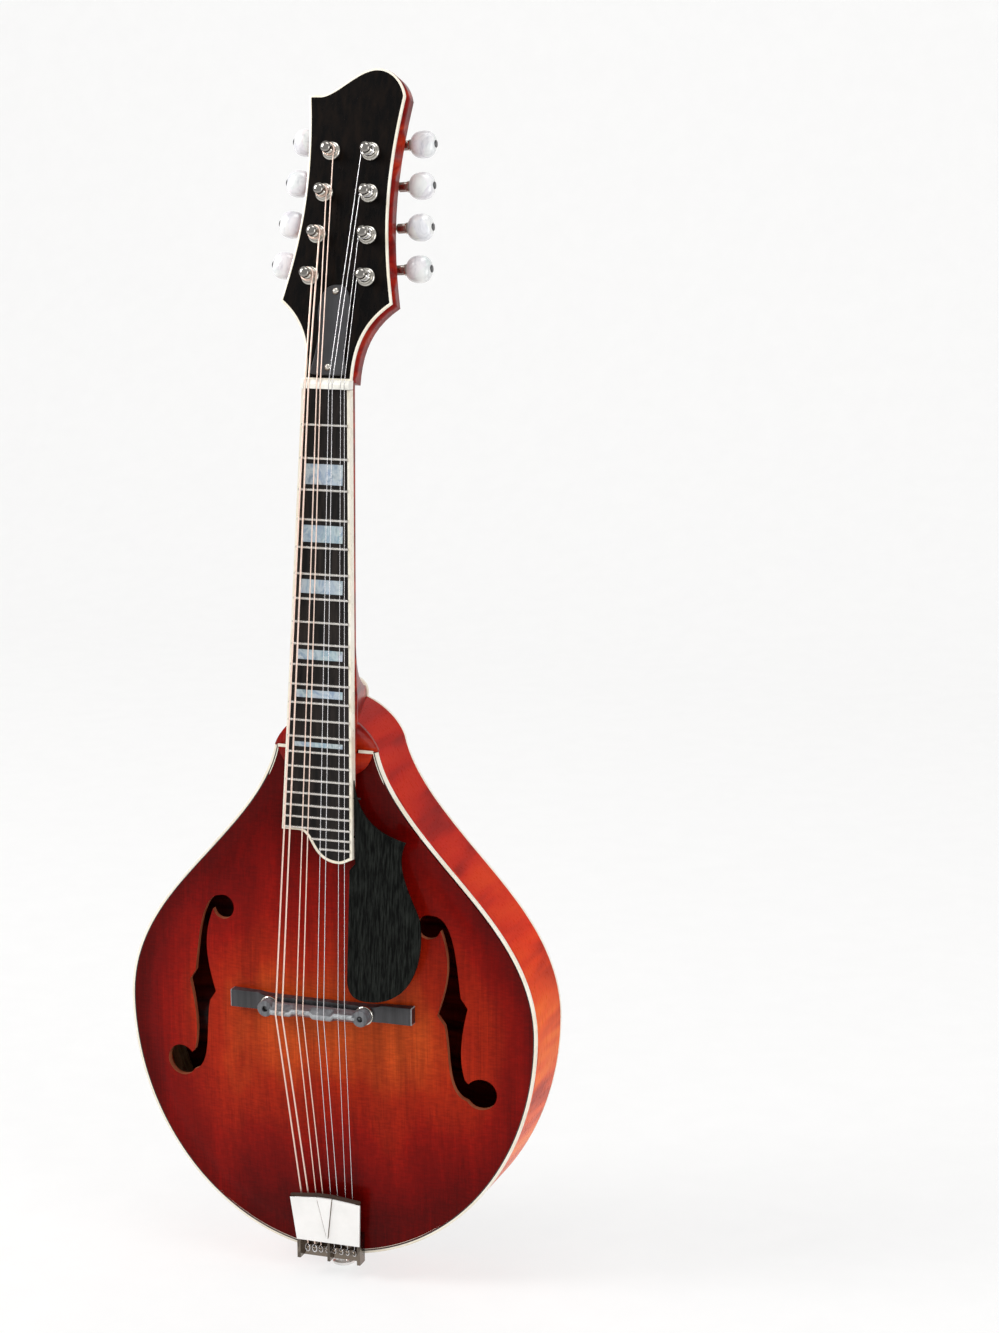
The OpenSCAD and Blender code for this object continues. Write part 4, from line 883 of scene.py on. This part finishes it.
# ---- Tuners ------------------------------------------------------------------
for i in range(1, 9):
    here, side = tuner_place(i), tuner_side(i)
    turned = here @ Matrix.Translation((0, WORM_Y * MM, WORM_S * MM)) @ Matrix.Rotation(0 if side > 0
        else math.pi, 4, "Y")
    traced(f"tuner_worm_{i}", nickel, 45, "nickel")
    rings = []
    for u in np.linspace(-1, 1, 21):
        grow = max(1 - abs(u) ** 2.5, 0.0001) ** (1 / 2.3)
        ring = []
        for a in np.linspace(0, 2 * math.pi, 48, endpoint=False):
            c, s = math.cos(a), math.sin(a)
            wide = math.copysign(abs(c) ** 0.9, c)
            thick = math.copysign(abs(s) ** 0.72, s)
            flare = 1 + 0.03 * u
            ring.append((24.2 + 7.7 * u, 5.1 * grow * thick, 7.7 * grow * wide * flare))
        rings.append(ring)
    button = loft(f"button_{i}", rings, turned, button_shell, f"key_{i}", 60)
    done(button, f"tuner_button_{i}", slot="button_pearl")
    cup = [(0, 31.2), (1.9, 31.2), (2.2, 31.75), (1.9, 32.1), (0.9, 32.25), (0, 32.25)]
    done(lathe(f"button_screw_{i}", cup, turned, cover_black, "X", f"key_{i}"))
    ring = [(1.3, 10.5), (2.3, 10.5), (2.62, 10.9), (2.62, 15.4), (3.3, 15.9), (3.3, 16.7),
        (2.4, 17.3), (1.3, 17.3)]
    done(lathe(f"button_collar_{i}", ring, turned, nickel, "X", f"key_{i}"))
    angles = np.linspace(0, 2 * math.pi, 26, endpoint=False)
    ridge_places = [(13.2, 2.62 * math.cos(a), 2.62 * math.sin(a)) for a in angles]
    facing = np.tile(np.array(turned.to_3x3() @ Vector((1, 0, 0))), (len(angles), 1))
    ridges = grown(f"collar_ridges_{i}", moved(turned, ridge_places), "face", "FLOAT_VECTOR", facing,
        *KNURLS, {"Ridge Width": 0.00042, "Ridge Length": 0.0042, "Material": nickel}, f"key_{i}")
    done(ridges)
    traced(f"tuner_post_{i}", nickel, 35, "nickel")
    tip = [(POST_R, -8.4), (POST_R, -9.7), (2.8, -10.3), (2.2, -10.8), (1.2, -11.05), (0, -11.1)]
    done(lathe(f"post_tip_{i}", tip, here, post_nickel, "Y", f"post_{i}"))
    bushing = [(3.06, 7.5), (3.06, -2.5), (3.5, -2.7), (4.0, -2.4), (4.1, -1.9), (4.6, -1.9),
        (5.2, -1.5), (5.5, -0.8), (5.5, -0.02), (4.1, -0.02), (4.1, 7.5)]
    done(lathe(f"bushing_{i}", bushing, here, nickel, "Y"), *(["tuner_bushings"] if i == 1 else []),
        slot="nickel")
for label in SIDES:
    traced(f"tuner_plate_{label}", plate_nickel, 35, "nickel")

# ---- Bridge ------------------------------------------------------------------
BRIDGE_Z = (JOINT_S - SCALE_LENGTH - 2) * math.cos(NECK_ANGLE)
low_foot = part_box("bridge_base")[0]
FOOT_TOP = (low_foot.y - BODY.translation.y) / MM
string_at = moved(NECK, [(0, -5, -SCALE_LENGTH - 2)])[0]
STRING_Y = (string_at[1] - BODY.translation.y) / MM
WHEEL_Y = FOOT_TOP - 1.5 - WHEEL_GAP - WHEEL_T
SADDLE_LOW = WHEEL_Y - 0.04
BOSS_TOP = SADDLE_LOW - 6.4
rings = []
for x in np.concatenate([np.linspace(-56, -38, 10), np.linspace(-36, 36, 30),
        np.linspace(38, 56, 10)]):
    seat = -float(barrel(np.array([[x, BRIDGE_Z]]), ARCH_FRONT)[0]) + 0.02
    end = min(max((abs(x) - 33.5) / 5.5, 0), 1)
    end = end * end * (3 - 2 * end)
    top_y = FOOT_TOP + 2.4 * end + 0.9 * (1 - min(abs(x) / 26, 1)) * (1 - end)
    half = 4.5 + 0.7 * end
    r = 0.7
    rings.append([(x, seat, BRIDGE_Z - half), (x, top_y + r, BRIDGE_Z - half),
        (x, top_y + r * 0.3, BRIDGE_Z - half + r * 0.3), (x, top_y, BRIDGE_Z - half + r),
        (x, top_y, BRIDGE_Z + half - r), (x, top_y + r * 0.3, BRIDGE_Z + half - r * 0.3),
        (x, top_y + r, BRIDGE_Z + half), (x, seat, BRIDGE_Z + half)])
foot = bevel(loft("bridge_foot", rings, BODY, bridge_wood), 0.55, 2, 60)
foot.data.materials.append(painted_sheen_ebony)
# The foot's rounded edges take the lightened ebony: painted highlight.
foot.modifiers[0].material = 1
done(foot, "bridge_base", slot="ebony")
traced("bridge_studs", nickel, slot="nickel")
sections = []
cuts = [(-STUD_X, 0), (-26.6, 0), (-25.2, -1.1), (-13.6, -1.1), (-11.8, 0.6), (-0.9, 0.6),
    (0.9, -1.1), (11.9, -1.1), (13.7, 0.8), (25.2, 0.8), (26.6, 0), (STUD_X, 0)]
CROWN_Y = STRING_Y + 0.4
for x, shift in cuts:
    crown_y = BOSS_TOP + 1.2 if abs(x) > 25.9 else CROWN_Y
    sections.append([(x, SADDLE_LOW, BRIDGE_Z - 3.1), (x, SADDLE_LOW - 3.6, BRIDGE_Z - 3.2),
        (x, crown_y + 0.9, BRIDGE_Z + shift - 1.5), (x, crown_y, BRIDGE_Z + shift - 0.5),
        (x, crown_y, BRIDGE_Z + shift + 0.5), (x, crown_y + 0.9, BRIDGE_Z + shift + 1.5),
        (x, SADDLE_LOW - 3.6, BRIDGE_Z + 3.2), (x, SADDLE_LOW, BRIDGE_Z + 3.1)])
saddle = loft("saddle_bar", sections, BODY, saddle_painted_sheen, "saddle", 25)
saddle.data.materials.append(painted_sheen_ebony)
# Saddle faces turned forward near the crown take the lightened ebony: painted sheen.
crown_floor = (CROWN_Y + 3) * MM + BODY.translation.y
for face in saddle.data.polygons:
    at = face.center
    if face.normal.y < -0.35 and abs(at.x) < 26 * MM and at.y < crown_floor:
        face.material_index = 1
done(bevel(saddle, 0.25, 2, 40), "saddle", slot="ebony")
for label, side in SIDES.items():
    here = BODY @ Matrix.Translation((side * STUD_X * MM, 0, BRIDGE_Z * MM))
    boss = [(1.8, SADDLE_LOW), (4.4, SADDLE_LOW), (4.75, SADDLE_LOW - 0.4), (4.75, BOSS_TOP + 0.6),
        (4.4, BOSS_TOP), (1.8, BOSS_TOP), (1.8, SADDLE_LOW)]
    done(lathe(f"saddle_boss_{label}", boss, here, saddle_painted_sheen, "Y", "saddle"))
    # A black disc down in the boss hole, over the stud's top, stands in for the shade inside the hole:
    # painted shade.
    hollow = [(0, BOSS_TOP + 1.9), (1.78, BOSS_TOP + 1.9), (1.78, BOSS_TOP + 1.99),
        (0, BOSS_TOP + 1.99)]
    done(lathe(f"stud_end_{label}", hollow, here, black_line, "Y"))
    wheel = [(1.8, WHEEL_Y), (5.1, WHEEL_Y), (5.4, WHEEL_Y + 0.25), (5.4, WHEEL_Y + 1.35),
        (5.1, WHEEL_Y + WHEEL_T), (1.8, WHEEL_Y + WHEEL_T), (1.8, WHEEL_Y)]
    done(lathe(f"wheel_{label}_disc", wheel, here, nickel, "Y", f"wheel_{label}"),
        f"thumbwheel_{label}", slot="nickel")
    angles = np.linspace(0, 2 * math.pi, 48, endpoint=False)
    ridge_places = [(5.4 * math.cos(a), WHEEL_Y + 0.8, 5.4 * math.sin(a)) for a in angles]
    facing = np.tile(np.array((0.0, 1.0, 0.0)), (len(angles), 1))
    ridges = grown(f"wheel_ridges_{label}", moved(here, ridge_places), "face", "FLOAT_VECTOR", facing,
        *KNURLS, {"Ridge Width": 0.0004, "Ridge Length": 0.0014, "Material": nickel},
        f"wheel_{label}")
    done(ridges)

# ---- Tailpiece ---------------------------------------------------------------
TAIL_TOP, TAIL_LOW = -268.5, -296.5
traced("tailpiece", dark_nickel, 30, "nickel")
slope = math.atan2(-8.4 + 12.5, TAIL_TOP - TAIL_LOW)
cover_at = BODY @ Matrix.Translation((0, -12.5 * MM, TAIL_TOP * MM)) @ Matrix.Rotation(slope, 4,
    "X") @ Matrix.Translation((0, 0, -TAIL_TOP * MM))
cover_shape = [(-22, TAIL_TOP), (-19.8, TAIL_LOW), (19.8, TAIL_LOW), (22, TAIL_TOP),
    (4.6, TAIL_TOP + 1.8), (-4.6, TAIL_TOP + 1.8)]
done(bevel(prism("tail_cover", cover_shape, -0.12, 1.4, cover_at, bright_nickel), 0.3, 2))
# A dark strip a little wider than the rib, set just under it, stands in for the rib's shadow on the
# cover: painted shadow.
shadow = [(-5.0, TAIL_TOP + 2.0), (-0.55, TAIL_LOW + 3.1), (0.55, TAIL_LOW + 3.1),
    (5.0, TAIL_TOP + 2.0)]
done(prism("tail_rib_line", shadow, -0.16, 0.2, cover_at, dark_nickel))
rib = [(-4.7, TAIL_TOP + 2.2), (-0.3, TAIL_LOW + 3.5), (0.3, TAIL_LOW + 3.5), (4.7, TAIL_TOP + 2.2)]
done(bevel(prism("tail_rib", rib, -1.0, 0.3, cover_at, bright_nickel), 0.3, 2))
lip = [(-21.8, TAIL_TOP + 1.6), (-21.8, TAIL_TOP - 1.5), (21.8, TAIL_TOP - 1.5),
    (21.8, TAIL_TOP + 1.6), (5, TAIL_TOP + 3.6), (-5, TAIL_TOP + 3.6)]
done(bevel(prism("tail_pad", lip, 0.5, 2.4, cover_at, felt), 0.3, 2))
button_turn = [(4.2, 0.02), (5.6, 0.02), (5.6, 1.2), (4.6, 2.4), (4.1, 4.4), (4.2, 6.4), (5.2, 8.2),
    (6.7, 8.9), (6.85, 9.6), (6.6, 10.4), (5.2, 11.1), (2.5, 11.4), (0, 11.4)]
pin_place = BODY @ Matrix.Translation((0, 15.5 * MM, (-305 - 1.9) * MM)) @ Matrix.Rotation(math.pi, 4,
    "X")
done(lathe("strap_pin", button_turn, pin_place, bright_nickel, "Z"), "strap_button", slot="nickel")

# ---- Pickguard ---------------------------------------------------------------
GUARD_X = board_half(JOINT_S + 12) + 0.4
guard = joined([[GUARD_X, -14.5]], bezier((GUARD_X, -14.5), (23, -36), (36, -44), (52.7, -47.6), 20),
    bezier((52.7, -47.6), (47, -60), (52, -70), (61.8, -90), 16), bezier((61.8, -90), (66, -108),
    (62, -141), (32, -141), 26), bezier((32, -141), (22, -141), (19.4, -136), (19.4, -128), 12),
    [[19.4, -66], [GUARD_X + 2, -62]])
guard[:, 1] -= JOINT_S
piece = prism("guard_plate", guard, *GUARD_Y, NECK, guard_wood)
done(bevel(piece, 0.8, 2, 25), "pickguard", slot="ebony")
traced("pickguard_mounting", black_wood, slot="ebony")

# ---- Strings -----------------------------------------------------------------
STRING_R = [0.5, 0.5, 0.33, 0.33, 0.2, 0.2, 0.15, 0.15]
CROWN_SHIFT = [-1.1, 0.6, -1.1, 0.8]


def string_x(i, course, pair):
    return ((i - 1) // 2 - 1.5) * course + ((i - 1) % 2 - 0.5) * pair


hook_z = TAIL_LOW - 6
for i in range(1, 9):
    r = STRING_R[i - 1]
    t = i if i <= 4 else 13 - i
    side, row = tuner_side(t), (t - 1) % 4
    px = side * (POST_OUT + (POST_IN - POST_OUT) * row / 3)
    ps = POST_START + POST_GAP * math.cos(PLATE_TILT) * row
    hook = string_x(i, 8.4, 4.4)
    turn = r + 1.0
    loop_path = [(hook + turn * math.sin(a), -4.1 - 0.4 * math.sin(a / 2),
        hook_z - 1.5 * turn * math.cos(a)) for a in np.linspace(-2.7, 2.7, 17)]
    twist = [(hook + 0.35 * r * math.sin(k * 1.2), -3.9, hook_z + 1.5 * turn + 0.4 + k * 0.5)
        for k in range(8)]
    run = [(string_x(i, 12.8, 4), STRING_Y, BRIDGE_Z + CROWN_SHIFT[(i - 1) // 2])]
    start = moved(BODY, twist + run)
    wire = max(0.7 * r, 0.24)
    ring = tube(f"string_loop_{i}", moved(BODY, loop_path[::-1] + twist), wire * MM, steel, sides=8)
    done(ring, slot="string_steel")
    path = [start[:8]]
    straight = np.linspace(0, 1, 12)[1:, None]
    path.append(start[7] + (start[8] - start[7]) * straight)
    at_nut = moved(NECK, [(string_x(i, 7.15, 2.2), -1.5, 0.4)])[0]
    path.append(start[8] + (at_nut - start[8]) * straight)
    off_nut = moved(NECK, [(string_x(i, 7.15, 2.2), -1.45, 4.9)])[0]
    path.append([off_nut])
    reel = 3.05 + r
    coil = []
    for a in np.linspace(0, 2 * math.pi * (2.5 + 1.2 * (r < 0.4)), 60):
        coil.append((px - side * reel * math.cos(a), -6 + 2.15 * r * a / (2 * math.pi),
            ps + reel * math.sin(a)))
    coil = moved(HEAD, coil)
    path.append(off_nut + (coil[0] - off_nut) * straight[:-1])
    path.append(coil)
    string = tube(f"string_{i}", np.concatenate(path), r * MM, bronze if i <= 4 else steel)
    replaced = {1: ["strings_wound"], 5: ["strings_plain"]}.get(i, [])
    done(string, *replaced, slot="bronze_wound" if i <= 4 else "string_steel")

# ---- Room, light and camera --------------------------------------------------
low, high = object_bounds()
floor_z = low[2] - 0.001


def room_material():
    f = Finish("pale_room", Roughness=0.9)
    grain = f.noise(f.place(), 40, 3)
    f.use(f.ramp(grain, (0.3, "e9e8e6"), (0.7, "f0efed")), "Base Color")
    out = next(n for n in f.tree.nodes if n.type == "OUTPUT_MATERIAL")
    white = f.node("ShaderNodeEmission", settings={"Color": (1, 1, 1, 1), "Strength": 1.0}).outputs[0]
    seen = f.node("ShaderNodeLightPath").outputs
    any_ray = f.math("MAXIMUM", f.math("MAXIMUM", seen["Is Camera Ray"], seen["Is Glossy Ray"]),
        seen["Is Transmission Ray"])
    amount = f.math("MULTIPLY", any_ray, 0.75)
    blend = f.node("ShaderNodeMixShader", {0: amount})
    f.tree.links.new(f.shader.outputs[0], blend.inputs[1])
    f.tree.links.new(white, blend.inputs[2])
    f.tree.links.new(blend.outputs[0], out.inputs["Surface"])
    return f.material


bend = [(1.6 + 0.8 * math.sin(a), 0.8 - 0.8 * math.cos(a)) for a in np.linspace(0, math.pi / 2, 17)]
profile = [(-4.0, 0.0), *bend, (2.4, 4.0)]
verts = [(x, y, floor_z + z) for x in (-4.5, 4.5) for y, z in profile]
n = len(profile)
room = make("room_sweep", verts, [[j, j + n, j + n + 1, j + 1] for j in range(n - 1)],
    room_material(), smooth=60)
del room["body"]


def soft_light(name, place, aim, size, power, tint=(1, 1, 1)):
    lamp = bpy.data.lights.new(name, "AREA")
    lamp.shape, lamp.size, lamp.size_y = "RECTANGLE", *size
    lamp.energy, lamp.color = power, tint
    holder = in_scene(name, lamp)
    holder.location = place
    holder.rotation_euler = (Vector(aim) - Vector(place)).to_track_quat("-Z", "Y").to_euler()


middle = Vector((0, 0, -0.2))
soft_light("key_light", (-2.1, -1.3, 1.5), middle, (1.3, 1.3), 70)
soft_light("fill_light", (2.3, -1.2, 0.3), middle, (1.2, 1.8), 27)
soft_light("top_light", (0.3, -0.4, 2.3), middle, (1.6, 1.2), 22)
world = bpy.data.worlds.new("studio")
world.use_nodes = True
sky = world.node_tree.nodes["Background"]
sky.inputs["Color"].default_value = (1, 1, 1, 1)
seen = add_node(world.node_tree, "ShaderNodeLightPath").outputs
any_ray = seen["Is Camera Ray"]
for ray in ("Is Glossy Ray", "Is Transmission Ray"):
    any_ray = add_node(world.node_tree, "ShaderNodeMath", {0: any_ray, 1: seen[ray]},
        operation="MAXIMUM").outputs[0]
level = add_node(world.node_tree, "ShaderNodeMapRange", {"Value": any_ray},
    {"To Min": 0.36, "To Max": 0.62})
world.node_tree.links.new(level.outputs[0], sky.inputs["Strength"])
bpy.context.scene.world = world
bpy.context.scene.view_settings.view_transform = "Standard"

lens = bpy.data.cameras.new("camera")
lens.lens, lens.sensor_width, lens.clip_start, lens.clip_end = 80.75, 36, 0.05, 30
camera = in_scene("camera", lens)
right, up = Vector((0.94514, 0.32664, -0.00328)), Vector((-0.06662, 0.20259, 0.97699))
away = right.cross(up)
camera.matrix_world = Matrix(((right.x, up.x, away.x, 0.63234), (right.y, up.y, away.y, -1.54414),
    (right.z, up.z, away.z, 0.19386), (0, 0, 0, 1)))
bpy.context.scene.camera = camera
